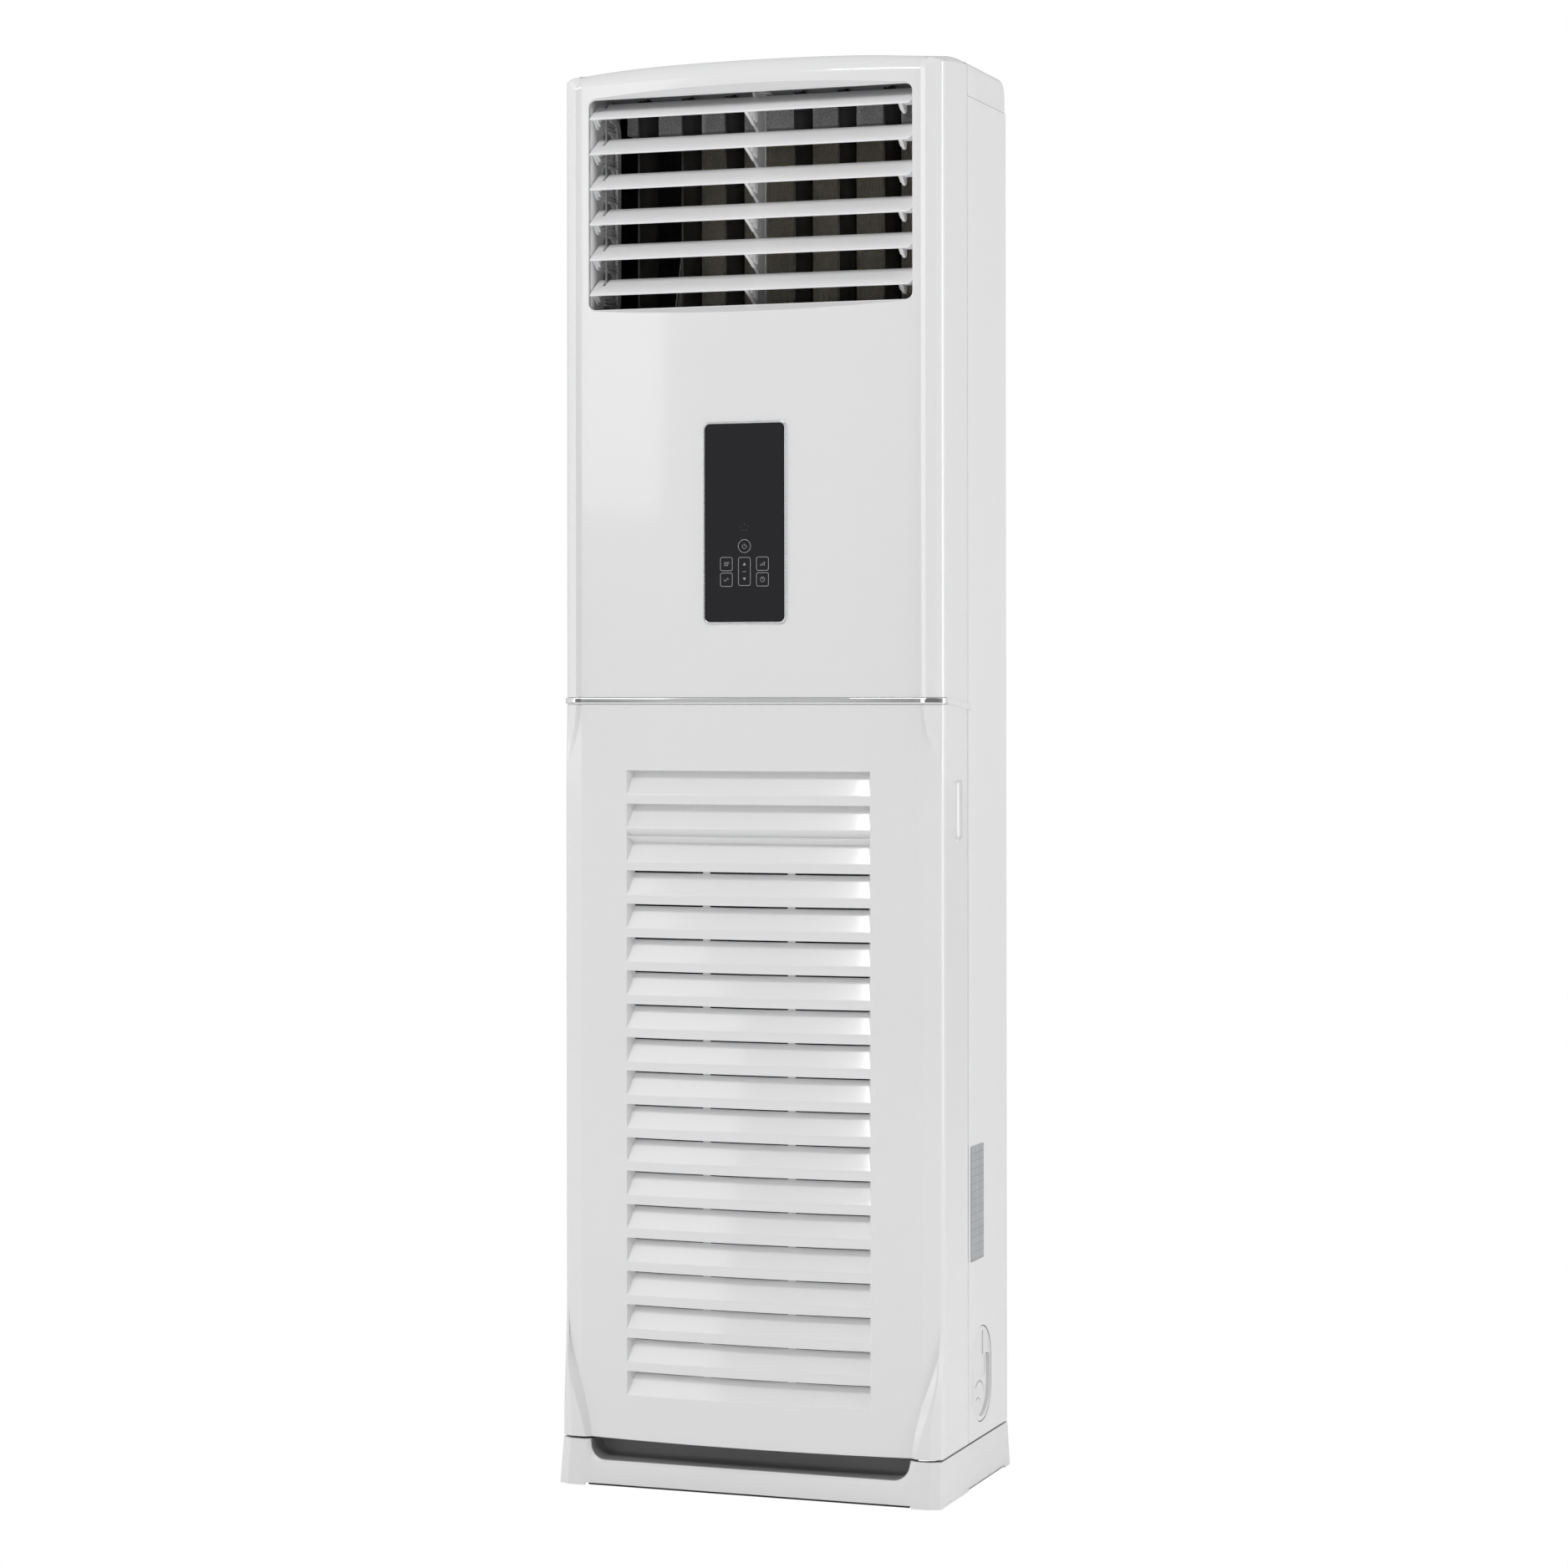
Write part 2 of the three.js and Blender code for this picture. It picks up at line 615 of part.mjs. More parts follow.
// ---- heat exchanger -----------------------------------------------------
{
  const { x, front, top, thick } = COIL;
  const len = Math.hypot(top[0] - front[0], top[1] - front[1]);
  const d = [(top[0] - front[0]) / len, (top[1] - front[1]) / len];
  const n = [d[1], -d[0]];
  const slab = (from, to, extra = 0) =>
    [
      [front[0] - n[0] * extra - d[0] * extra, front[1] - n[1] * extra - d[1] * extra],
      [top[0] - n[0] * extra + d[0] * extra, top[1] - n[1] * extra + d[1] * extra],
      [top[0] + n[0] * (thick + extra) + d[0] * extra, top[1] + n[1] * (thick + extra) + d[1] * extra],
      [front[0] + n[0] * (thick + extra) - d[0] * extra, front[1] + n[1] * (thick + extra) - d[1] * extra],
    ].map(([a, b]) => [Y(a), b]);
  // open between groups of fins at the back, closed at the face that the air leaves by
  const at = (s, m) => [Y(front[0] + d[0] * s + n[0] * m), front[1] + d[1] * s + n[1] * m];
  const channel = [at(8, 7), at(len - 8, 7), at(len - 8, thick + 6), at(8, thick + 6)];
  const channels = [];
  for (let cx = x[0] + 6; cx + 15 < x[1]; cx += 20.3) channels.push(prismX(channel, cx, cx + 15));
  piece("evaporator_fins", cut(prismX(slab(), x[0], x[1]), ...channels), finish(0x8f8a6c, 0.45, 0.6));
  const endPlate = (x0, x1) => prismX(slab(0, 0, 3), x0, x1);
  piece("left_end_plate", endPlate(x[0] - 1.5 - GAP, x[0] - GAP), ZINC());
  piece("right_end_plate", endPlate(x[1] + GAP, x[1] + 1.5 + GAP), ZINC());
  // suction header: an upright tube with stubs into the end plate's face
  const p = (s, m) => [Y(front[0] + d[0] * s + n[0] * m), front[1] + d[1] * s + n[1] * m];
  const hx = 220;
  const [ay, az] = p(60, 20),
    [by, bz] = p(330, 20);
  const tube = new THREE.CylinderGeometry(8, 8, Math.hypot(by - ay, bz - az), 16)
    .rotateX(Math.PI / 2)
    .rotateX(-Math.atan2(by - ay, bz - az))
    .translate(hx, (ay + by) / 2, (az + bz) / 2);
  const stubs = [90, 150, 210, 270].map((s) => {
    const [sy, sz] = p(s, 20);
    return cylinder("x", 4, x[1] + 2.2, hx, sy, sz, 10);
  });
  piece("coil_header", join(tube, ...stubs), COPPER());
  piece("top_foam", box(-205, 205, Y(114), Y(272), 1684, 1699), finish(0x9a9c9e, 0.9));
  const pan = cut(
    box(-215, 210, Y(46), Y(122), 1138, 1164),
    box(-213, 208, Y(48), Y(120), 1140.5, 1165),
    cylinder("z", 6, 1130, 1145, 198, Y(97), 12),
  );
  piece("drain_pan", pan, finish(0xd9dadb, 0.5));
  // round tube along a smooth curve through the given points
  const tubeAlong = (points, r, steps, sides = 10) => {
    const path = new THREE.CatmullRomCurve3(points.map(([px, ps, pz]) => new THREE.Vector3(px, Y(ps), pz)), false, "centripetal");
    return new THREE.ExtrudeGeometry(outline(circle(0, 0, r, sides)), { steps, extrudePath: path, bevelEnabled: false });
  };
  piece(
    "drain_hose",
    tubeAlong([[198, 97, 1137.4], [198, 97, 1110], [208, 97, 1080], [222, 97, 1050], [228, 97, 1010], [228, 97, 600], [228, 97, 170]], 8, 16),
    finish(0xc9cacb, 0.5),
  );
  piece(
    "gas_pipe",
    tubeAlong([[220, 96.4, 1229.6], [221, 94, 1218], [223, 104, 1192], [227, 135, 1150], [227, 150, 1110], [227, 150, 700], [227, 150, 235]], 8, 16),
    COPPER(),
  );
  piece(
    "liquid_pipe",
    tubeAlong([[207.3, 169, 1408], [216, 169, 1408], [226, 173, 1398], [229, 178, 1375], [229, 178, 800], [229, 178, 215]], 4.8, 16, 8),
    COPPER(),
  );
}

// ---- fan ----------------------------------------------------------------
{
  const { x: fx, z: fz, y, wheelR, wheelY, shaftR } = FAN;
  // spiral wall: from the tongue, down round the wheel, and up the right side
  const spiral = (grow) => {
    const pts = [];
    for (let a = 110; a <= 360; a += 12.5) {
      const r = 182 + (43 * (a - 110)) / 250 + grow;
      pts.push([fx + r * Math.cos((a * Math.PI) / 180), fz + r * Math.sin((a * Math.PI) / 180)]);
    }
    return pts;
  };
  const neckLeft = fx + 182 * Math.cos((110 * Math.PI) / 180);
  const outer = [...spiral(2), [fx + 227, 700], [neckLeft - 2, 700]];
  const inner = [...spiral(0), [fx + 225, 702], [neckLeft, 702]];
  const housing = cut(
    prismY(outer, Y(y[0]), Y(y[1])),
    prismY(inner, Y(y[0] + 1.5), Y(y[1] - 1.5)),
    cylinder("y", 141, Y(y[0] - 5), Y(y[0] + 5), fx, fz, 32),
    cylinder("y", 30, Y(y[1] - 5), Y(y[1] + 5), fx, fz, 20),
  );
  piece("volute_housing", housing, ZINC());
  const profile = [
    [134, 77],
    [134, 62],
    [140, 54],
    [154, 51],
    [154, 53],
    [141.5, 56],
    [136, 63],
    [136, 77],
  ];
  const ring = new THREE.LatheGeometry(
    [...profile, profile[0]].map(([r, s]) => new THREE.Vector2(r, s)),
    32,
  ).translate(fx, FRONT, fz);
  piece("inlet_ring", ring, finish(0x3a3b3c, 0.5));
  const blade = (i) => {
    const a = (i * 2 * Math.PI) / 24;
    return new THREE.BoxGeometry(24, wheelY[1] - wheelY[0] - 2, 1.6)
      .translate(wheelR - 14, 0, 0)
      .rotateY(0)
      .applyMatrix4(new THREE.Matrix4().makeRotationY(a))
      .translate(fx, Y((wheelY[0] + wheelY[1]) / 2), fz);
  };
  const wheel = cut(
    join(
      cylinder("y", wheelR, Y(wheelY[1] - 2.5), Y(wheelY[1]), fx, fz, 48),
      cut(
        cylinder("y", wheelR, Y(wheelY[0]), Y(wheelY[0] + 6), fx, fz, 48),
        cylinder("y", wheelR - 12, Y(wheelY[0] - 2), Y(wheelY[0] + 8), fx, fz, 48),
      ),
      ...Array.from({ length: 24 }, (_, i) => blade(i)),
      cylinder("y", 22, Y(wheelY[1] - 40), Y(wheelY[1]), fx, fz, 20),
    ),
    cylinder("y", shaftR + GAP, Y(wheelY[0]), Y(wheelY[1] + 5), fx, fz, 16),
  );
  piece("blower_wheel", wheel, finish(0x2b2c2d, 0.5));
  piece("motor_shaft", cylinder("y", shaftR, Y(wheelY[1] - 50), Y(226), fx, fz, 16), ZINC());
  piece(
    "motor_bracket",
    cut(
      cylinder("y", 92, Y(222.4), Y(224.4), fx, fz, 24),
      cylinder("y", 14, Y(220), Y(227), fx, fz, 16),
    ),
    ZINC(),
  );
  piece(
    "blower_motor",
    cut(
      join(
        cylinder("y", 64, Y(224.8), Y(262), fx, fz, 28),
        cylinder("y", 20, Y(261), Y(268), fx, fz, 20),
      ),
      cylinder("y", shaftR + 1, Y(224), Y(230), fx, fz, 16),
    ),
    finish(0x6f7274, 0.5, 0.5),
  );
  const deck = cut(
    box(-235.5, 235.5, Y(40), Y(272), 701, 702.5),
    box(neckLeft, fx + 225, Y(y[0] + 1.5), Y(y[1] - 1.5), 695, 710),
    box(217.5, 237, Y(72), Y(190), 695, 710),
  );
  piece("fan_deck", deck, ZINC());
}

// ---- air filter: frame and mesh moulded together ------------------------
{
  const x = 165,
    z = [88, 884],
    y = [16, 20];
  const windows = [];
  for (let i = 0; i < 2; i++)
    for (let k = 0; k < 6; k++) {
      const x0 = -x + 6 + i * (x - 3),
        z0 = z[0] + 6 + k * 131.5;
      windows.push(box(x0, x0 + x - 9, Y(y[0] - 2), Y(y[0] + 1.4), z0, z0 + 126.5));
      windows.push(box(x0, x0 + x - 9, Y(y[1] - 1.4), Y(y[1] + 2), z0, z0 + 126.5));
    }
  piece("air_filter", cut(box(-x, x, Y(y[0]), Y(y[1]), ...z), ...windows), finish(0x4b4d50, 0.7));
}

// ---- electrical box -----------------------------------------------------
{
  piece(
    "electrical_box",
    cut(
      box(-200, 60, Y(30), Y(84), 895, 1045),
      box(-198.5, 58.5, Y(29), Y(82.5), 896.5, 1043.5),
      cylinder("z", 8, 890, 900, -30, Y(56), 12),
    ),
    ZINC(),
  );
  piece("control_board", box(-190, -40, Y(76), Y(77.6), 905, 1035), finish(0x1f5a3a, 0.5));
  piece("terminal_block", box(-25, 45, Y(60), Y(82), 910, 940), finish(0x2a2b2c, 0.5));
  piece("fan_capacitor", cylinder("z", 16, 955, 1025, 15, Y(62), 20), finish(0xd0d1d2, 0.4));
}

// ---- outside fittings ---------------------------------------------------
piece("side_label", box(STEEL_HALF_W + GAP, STEEL_HALF_W + 0.9, Y(117), Y(169), 277, 418), finish(0xb2b5b7, 0.35, 0.6));
piece(
  "cable_gland",
  cut(
    join(
      cylinder("y", 17, Y(BACK_Y + 0.3), Y(BACK_Y + 7), 180, 120, 20),
      cylinder("y", 11.9, Y(BACK_Y - 12), Y(BACK_Y + 6), 180, 120, 20),
    ),
    cylinder("y", 6, Y(BACK_Y - 15), Y(BACK_Y + 10), 180, 120, 16),
  ),
  finish(0x2c2d2e, 0.5),
);
{
  const b0 = BACK_Y + GAP,
    b1 = BACK_Y + 1.8,
    w0 = 282.5,
    w1 = 284;
  const hat = [
    [-60, w1],
    [-60, w0],
    [-45, w0],
    [-45, b0],
    [45, b0],
    [45, w0],
    [60, w0],
    [60, w1],
    [43.5, w1],
    [43.5, b1],
    [-43.5, b1],
    [-43.5, w1],
  ].map(([x, s]) => [x, Y(s)]);
  piece(
    "wall_bracket",
    cut(
      prismZ(hat, 1640, 1690),
      cylinder("y", 2.6, Y(281), Y(286), -52, 1652, 12),
      cylinder("y", 2.6, Y(281), Y(286), 52, 1652, 12),
    ),
    ZINC(),
  );
}

export default root;
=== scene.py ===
import bpy, bmesh, json, math
from mathutils import Vector, Matrix


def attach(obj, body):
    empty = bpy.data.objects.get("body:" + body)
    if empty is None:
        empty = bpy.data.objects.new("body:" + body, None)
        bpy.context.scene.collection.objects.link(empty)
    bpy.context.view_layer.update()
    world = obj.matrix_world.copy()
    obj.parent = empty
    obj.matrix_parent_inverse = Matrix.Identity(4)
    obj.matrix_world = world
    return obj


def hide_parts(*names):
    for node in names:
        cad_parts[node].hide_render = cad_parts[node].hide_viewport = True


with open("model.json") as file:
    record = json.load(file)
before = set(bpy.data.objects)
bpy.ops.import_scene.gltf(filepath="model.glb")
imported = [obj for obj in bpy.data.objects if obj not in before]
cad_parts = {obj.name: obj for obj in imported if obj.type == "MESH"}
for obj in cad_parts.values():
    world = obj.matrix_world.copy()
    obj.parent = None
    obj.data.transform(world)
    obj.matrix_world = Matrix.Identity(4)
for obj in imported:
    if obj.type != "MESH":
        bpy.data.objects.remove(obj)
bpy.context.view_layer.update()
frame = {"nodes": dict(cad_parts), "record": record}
NODES = frame["nodes"]
scene = bpy.context.scene
FRONT = -134.0  # plane of the front face's upright edges, mm


def P(x, s, z):
    """millimetres, s = depth behind the front plane"""
    return Vector((x / 1000.0, (s + FRONT) / 1000.0, z / 1000.0))


# ---- camera --------------------------------------------------------------
cam_data = bpy.data.cameras.new("camera")
cam = bpy.data.objects.new("camera", cam_data)
scene.collection.objects.link(cam)
cam_data.sensor_width = 36.0
cam_data.lens = 88.84
cam_data.shift_x = 0.0
cam_data.shift_y = -0.0696
cam_data.clip_start = 0.1
cam_data.clip_end = 60
cam.location = (1.6295, -4.5411, 0.979)
cam.rotation_euler = (math.radians(90.19), math.radians(0.06), math.radians(19.77))
scene.camera = cam

# ---- materials -----------------------------------------------------------
def ramp(nt, fac, stops):
    n = nt.nodes.new("ShaderNodeValToRGB")
    e = n.color_ramp.elements
    while len(e) < len(stops):
        e.new(0.5)
    for el, (pos, col) in zip(e, stops):
        el.position = pos
        el.color = (*col, 1.0) if len(col) == 3 else col
    nt.links.new(fac, n.inputs["Fac"])
    return n.outputs["Color"]


def coords(nt, scale=(1, 1, 1)):
    t = nt.nodes.new("ShaderNodeTexCoord")
    m = nt.nodes.new("ShaderNodeMapping")
    m.inputs["Scale"].default_value = scale
    nt.links.new(t.outputs["Object"], m.inputs["Vector"])
    return m.outputs["Vector"]


def noise(nt, vec, scale, detail=2.0, rough=0.5):
    n = nt.nodes.new("ShaderNodeTexNoise")
    n.inputs["Scale"].default_value = scale
    n.inputs["Detail"].default_value = detail
    n.inputs["Roughness"].default_value = rough
    nt.links.new(vec, n.inputs["Vector"])
    return n.outputs["Fac"]


def bump(nt, height, dist, strength=1.0):
    b = nt.nodes.new("ShaderNodeBump")
    b.inputs["Strength"].default_value = strength
    b.inputs["Distance"].default_value = dist
    nt.links.new(height, b.inputs["Height"])
    return b.outputs["Normal"]


def base_mat(name):
    m = bpy.data.materials.new(name)
    m.use_nodes = True
    nt = m.node_tree
    return m, nt, nt.nodes["Principled BSDF"]


def plastic(name, col, rough, var=0.02, grain=900.0, grain_depth=0.00002, coat=0.0, large=3.0, spec=0.5):
    """moulded plastic: faint colour drift, fine surface grain, uneven gloss"""
    m, nt, b = base_mat(name)
    v = coords(nt)
    lo = tuple(c * (1 - var) for c in col)
    hi = tuple(min(1.0, c * (1 + var * 0.6)) for c in col)
    nt.links.new(ramp(nt, noise(nt, v, large, 3.0), [(0.3, lo), (0.7, hi)]), b.inputs["Base Color"])
    r = ramp(nt, noise(nt, v, 14.0, 4.0), [(0.3, (rough * 0.9,) * 3), (0.7, (rough * 1.12,) * 3)])
    nt.links.new(r, b.inputs["Roughness"])
    nt.links.new(bump(nt, noise(nt, v, grain, 2.0), grain_depth, 0.25), b.inputs["Normal"])
    b.inputs["IOR"].default_value = 1.49
    b.inputs["Specular IOR Level"].default_value = spec
    if coat:
        b.inputs["Coat Weight"].default_value = coat
        b.inputs["Coat Roughness"].default_value = 0.06
    return m


def painted(name, col, rough=0.34):
    """powder coated steel: orange peel and faint drift"""
    m, nt, b = base_mat(name)
    v = coords(nt)
    nt.links.new(ramp(nt, noise(nt, v, 2.5, 2.0), [(0.3, tuple(c * 0.985 for c in col)), (0.7, col)]), b.inputs["Base Color"])
    nt.links.new(ramp(nt, noise(nt, v, 20.0, 3.0), [(0.3, (rough * 0.92,) * 3), (0.7, (rough * 1.1,) * 3)]), b.inputs["Roughness"])
    nt.links.new(bump(nt, noise(nt, v, 420.0, 3.0), 0.00004, 0.35), b.inputs["Normal"])
    b.inputs["IOR"].default_value = 1.5
    return m


def metal(name, col, rough, brush=None, var=0.08, scale=60.0, metallic=1.0):
    m, nt, b = base_mat(name)
    v = coords(nt, brush or (1, 1, 1))
    n = noise(nt, v, scale, 4.0)
    nt.links.new(ramp(nt, n, [(0.3, tuple(c * (1 - var) for c in col)), (0.7, tuple(min(1, c * (1 + var)) for c in col))]), b.inputs["Base Color"])
    nt.links.new(ramp(nt, n, [(0.3, (rough * 0.8,) * 3), (0.7, (rough * 1.2,) * 3)]), b.inputs["Roughness"])
    nt.links.new(bump(nt, n, 0.00002, 0.2), b.inputs["Normal"])
    b.inputs["Metallic"].default_value = metallic
    return m


def galvanised(name):
    m, nt, b = base_mat(name)
    v = coords(nt)
    vo = nt.nodes.new("ShaderNodeTexVoronoi")
    vo.inputs["Scale"].default_value = 70.0
    nt.links.new(v, vo.inputs["Vector"])
    nt.links.new(ramp(nt, vo.outputs["Color"], [(0.2, (0.42, 0.43, 0.44)), (0.8, (0.6, 0.61, 0.62))]), b.inputs["Base Color"])
    nt.links.new(ramp(nt, noise(nt, v, 40.0), [(0.3, (0.3,) * 3), (0.7, (0.45,) * 3)]), b.inputs["Roughness"])
    nt.links.new(bump(nt, noise(nt, v, 300.0), 0.00003, 0.3), b.inputs["Normal"])
    b.inputs["Metallic"].default_value = 1.0
    return m


def foam(name, col):
    m, nt, b = base_mat(name)
    v = coords(nt)
    vo = nt.nodes.new("ShaderNodeTexVoronoi")
    vo.inputs["Scale"].default_value = 420.0
    nt.links.new(v, vo.inputs["Vector"])
    nt.links.new(ramp(nt, vo.outputs["Distance"], [(0.1, tuple(c * 0.7 for c in col)), (0.6, tuple(c * 1.15 for c in col))]), b.inputs["Base Color"])
    nt.links.new(ramp(nt, noise(nt, v, 50.0), [(0.3, (0.85,) * 3), (0.7, (0.95,) * 3)]), b.inputs["Roughness"])
    nt.links.new(bump(nt, vo.outputs["Distance"], 0.0006, 0.7), b.inputs["Normal"])
    return m


MATS = {
    "gloss_white": plastic("gloss_white_plastic", (0.80, 0.80, 0.806), 0.2, var=0.006, grain_depth=0.000006, coat=1.0),
    "base_white": plastic("base_white_plastic", (0.78, 0.778, 0.782), 0.34, var=0.01, grain_depth=0.00002),
    # the blades' white is lighter than the front's white plastic: painted light on the louvre blades and the other
    # white outlet parts
    "blade_white": plastic("blade_white_plastic", (0.86, 0.86, 0.866), 0.34, var=0.01, grain_depth=0.00001),
    "steel_white": painted("painted_steel", (0.81, 0.81, 0.812), 0.3),
    "chrome": metal("polished_chrome", (0.9, 0.905, 0.91), 0.05, var=0.01, scale=8.0),
    "display_ring": metal("satin_ring", (0.66, 0.67, 0.68), 0.28, brush=(1, 1, 30), var=0.05, scale=40.0),
    "display_black": plastic("black_panel", (0.011, 0.0105, 0.0125), 0.1, var=0.03, grain_depth=0.000002, spec=0.36),
    "vane_black": plastic("vane_plastic", (0.016, 0.0155, 0.0165), 0.4, var=0.1, grain_depth=0.00003),
    "duct_grey": plastic("duct_plastic", (0.30, 0.305, 0.315), 0.5, var=0.05, grain_depth=0.00004),
    "galvanised": galvanised("galvanised_sheet"),
    "motor_grey": painted("motor_paint", (0.22, 0.225, 0.235), 0.4),
    "fin_aluminium": metal("fin_metal", (0.72, 0.68, 0.58), 0.5, brush=(1, 1, 12), var=0.15, scale=120.0, metallic=0.35),
    "copper": metal("copper_tube", (0.72, 0.36, 0.2), 0.3, brush=(1, 1, 6), var=0.12, scale=40.0),
    "foam_grey": foam("closed_cell_foam", (0.6, 0.59, 0.595)),
    "pan_white": plastic("pan_plastic", (0.68, 0.69, 0.7), 0.5, var=0.03, grain_depth=0.00003),
    "filter_grey": plastic("filter_mesh", (0.05, 0.05, 0.055), 0.6, var=0.15, grain_depth=0.0001),
    "board_green": plastic("circuit_board", (0.02, 0.11, 0.05), 0.35, var=0.25, grain_depth=0.00003, large=60.0),
    "label_foil": metal("label_foil", (0.46, 0.47, 0.485), 0.38, brush=(1, 1, 8), var=0.03, scale=60.0),
}
MATS["tube_collar"] = metal("gold_fin_coating", (0.62, 0.52, 0.2), 0.35, brush=(12, 1, 1), var=0.12, scale=90.0)
MATS["link_grey"] = plastic("link_plastic", (0.3, 0.3, 0.305), 0.45, var=0.04)
# darker grey copy of the white plastic: painted shade for the inside of the toe recess
MATS["recess_grey"] = plastic("recess_painted_shade_plastic", (0.26, 0.258, 0.262), 0.5, var=0.02)
# near-black foam material: painted shade for the dark inside of the cabinet behind and beside the coil
MATS["dark_lining"] = foam("painted_shade_black_lining", (0.018, 0.018, 0.02))
NODE_SLOT = {sub["node"]: sub["material_slot"] for sub in frame["record"]["subparts"]}

for name, ob in NODES.items():
    slot = NODE_SLOT.get(name)
    mat = MATS.get(slot) or MATS["duct_grey"]
    ob.data.materials.clear()
    ob.data.materials.append(mat)

# ---- world, floor and lights --------------------------------------------
scene.view_settings.view_transform = "Standard"
scene.view_settings.look = "None"
world = bpy.data.worlds.new("studio")
scene.world = world
world.use_nodes = True
wt = world.node_tree
wbg = wt.nodes["Background"]
tc = wt.nodes.new("ShaderNodeTexCoord")
sep = wt.nodes.new("ShaderNodeSeparateXYZ")
wt.links.new(tc.outputs["Generated"], sep.inputs[0])
at = wt.nodes.new("ShaderNodeMath")
at.operation = "ARCTAN2"
neg = wt.nodes.new("ShaderNodeMath")
neg.operation = "MULTIPLY"
neg.inputs[1].default_value = -1.0
wt.links.new(sep.outputs["Y"], neg.inputs[0])
wt.links.new(sep.outputs["X"], at.inputs[0])
wt.links.new(neg.outputs[0], at.inputs[1])
mr = wt.nodes.new("ShaderNodeMapRange")  # azimuth from the front, -180..180 to 0..1
mr.inputs["From Min"].default_value = -math.pi
mr.inputs["From Max"].default_value = math.pi
wt.links.new(at.outputs[0], mr.inputs["Value"])
az = wt.nodes.new("ShaderNodeValToRGB")
stops = [(-180, 0.9), (-125, 1.1), (-96, 1.3), (-88, 2.6), (-58, 2.6), (-50, 0.5), (-36, 0.5), (-28, 0.85), (-12, 0.85), (0, 0.4), (14, 0.3), (72, 0.3), (84, 1.9), (102, 1.9), (112, 1.3), (155, 1.3), (180, 0.9)]
el = az.color_ramp.elements
while len(el) < len(stops):
    el.new(0.5)
for e, (a, v) in zip(el, stops):
    e.position = (a + 180) / 360
    e.color = (v, v, v, 1)
wt.links.new(mr.outputs[0], az.inputs["Fac"])
up = wt.nodes.new("ShaderNodeMapRange")  # steep directions see the ceiling light
up.inputs["From Min"].default_value = 0.55
up.inputs["From Max"].default_value = 0.9
wt.links.new(sep.outputs["Z"], up.inputs["Value"])
mx = wt.nodes.new("ShaderNodeMix")
mx.data_type = "RGBA"
mx.inputs[7].default_value = (0.92, 0.92, 0.93, 1)
wt.links.new(up.outputs[0], mx.inputs[0])
wt.links.new(az.outputs["Color"], mx.inputs[6])
wt.links.new(mx.outputs[2], wbg.inputs["Color"])
wbg.inputs["Strength"].default_value = 0.6
seen = wt.nodes.new("ShaderNodeBackground")
seen.inputs["Color"].default_value = (1, 1, 1, 1)
seen.inputs["Strength"].default_value = 1.0
lp = wt.nodes.new("ShaderNodeLightPath")
ms = wt.nodes.new("ShaderNodeMixShader")
wt.links.new(lp.outputs["Is Camera Ray"], ms.inputs[0])
wt.links.new(wbg.outputs[0], ms.inputs[1])
wt.links.new(seen.outputs[0], ms.inputs[2])
wt.links.new(ms.outputs[0], wt.nodes["World Output"].inputs["Surface"])


def area(name, loc, aim, w, h, power, col=(1, 1, 1)):
    d = bpy.data.lights.new(name, "AREA")
    d.shape = "RECTANGLE"
    d.size, d.size_y, d.energy, d.color = w, h, power, col
    o = bpy.data.objects.new(name, d)
    scene.collection.objects.link(o)
    o.location = loc
    o.rotation_euler = (Vector(aim) - Vector(loc)).to_track_quat("-Z", "Y").to_euler()
    return o


area("key_left", (-2.6, -3.2, 2.6), (0, 0, 0.95), 1.6, 2.6, 16)
area("fill_right", (3.8, -0.2, 1.2), (0, 0, 0.9), 1.4, 2.8, 34)
area("front_low", (0.9, -5.4, 2.2), (0, 0, 1.4), 2.0, 1.2, 8)
area("front_high", (0.3, -3.8, 4.6), (0, 0, 1.2), 2.4, 1.2, 80)

bpy.ops.mesh.primitive_plane_add(size=60, location=(0, 0, -0.0006))
floor = bpy.context.object
floor.name = "studio_floor"
fm, fnt, fb = base_mat("pale_floor")
fv = coords(fnt)
fnt.links.new(ramp(fnt, noise(fnt, fv, 2.0), [(0.3, (0.93, 0.93, 0.93)), (0.7, (0.94, 0.94, 0.94))]), fb.inputs["Base Color"])
fb.inputs["Roughness"].default_value = 0.9
fe = fnt.nodes.new("ShaderNodeEmission")  # seen white, as the paper behind the piece
fe.inputs["Color"].default_value = (1, 1, 1, 1)
fe.inputs["Strength"].default_value = 1.0
fl = fnt.nodes.new("ShaderNodeLightPath")
fx = fnt.nodes.new("ShaderNodeMixShader")
fnt.links.new(fl.outputs["Is Camera Ray"], fx.inputs[0])
fnt.links.new(fb.outputs[0], fx.inputs[1])
fnt.links.new(fe.outputs[0], fx.inputs[2])
fnt.links.new(fx.outputs[0], fnt.nodes["Material Output"].inputs["Surface"])
floor.data.materials.append(fm)

# ---- mesh helpers --------------------------------------------------------
def mesh_object(name, verts, faces, mat, sharp=30.0, smooth=True):
    """verts are Vectors in metres; edges steeper than sharp stay crisp"""
    me = bpy.data.meshes.new(name)
    bm = bmesh.new()
    vs = [bm.verts.new(v) for v in verts]
    for f in faces:
        try:
            bm.faces.new([vs[i] for i in f])
        except ValueError:
            pass
    bmesh.ops.remove_doubles(bm, verts=bm.verts, dist=2e-6)
    bmesh.ops.dissolve_degenerate(bm, dist=2e-6, edges=bm.edges)
    loose = [v for v in bm.verts if not v.link_faces]
    bmesh.ops.delete(bm, geom=loose, context="VERTS")
    bmesh.ops.recalc_face_normals(bm, faces=bm.faces)
    lim = math.radians(sharp)
    for f in bm.faces:
        f.smooth = smooth
    for e in bm.edges:
        if len(e.link_faces) == 2:
            e.smooth = e.calc_face_angle(0) < lim
    bm.to_mesh(me)
    bm.free()
    ob = bpy.data.objects.new(name, me)
    scene.collection.objects.link(ob)
    if mat is not None:
        me.materials.append(MATS[mat] if isinstance(mat, str) else mat)
    return ob


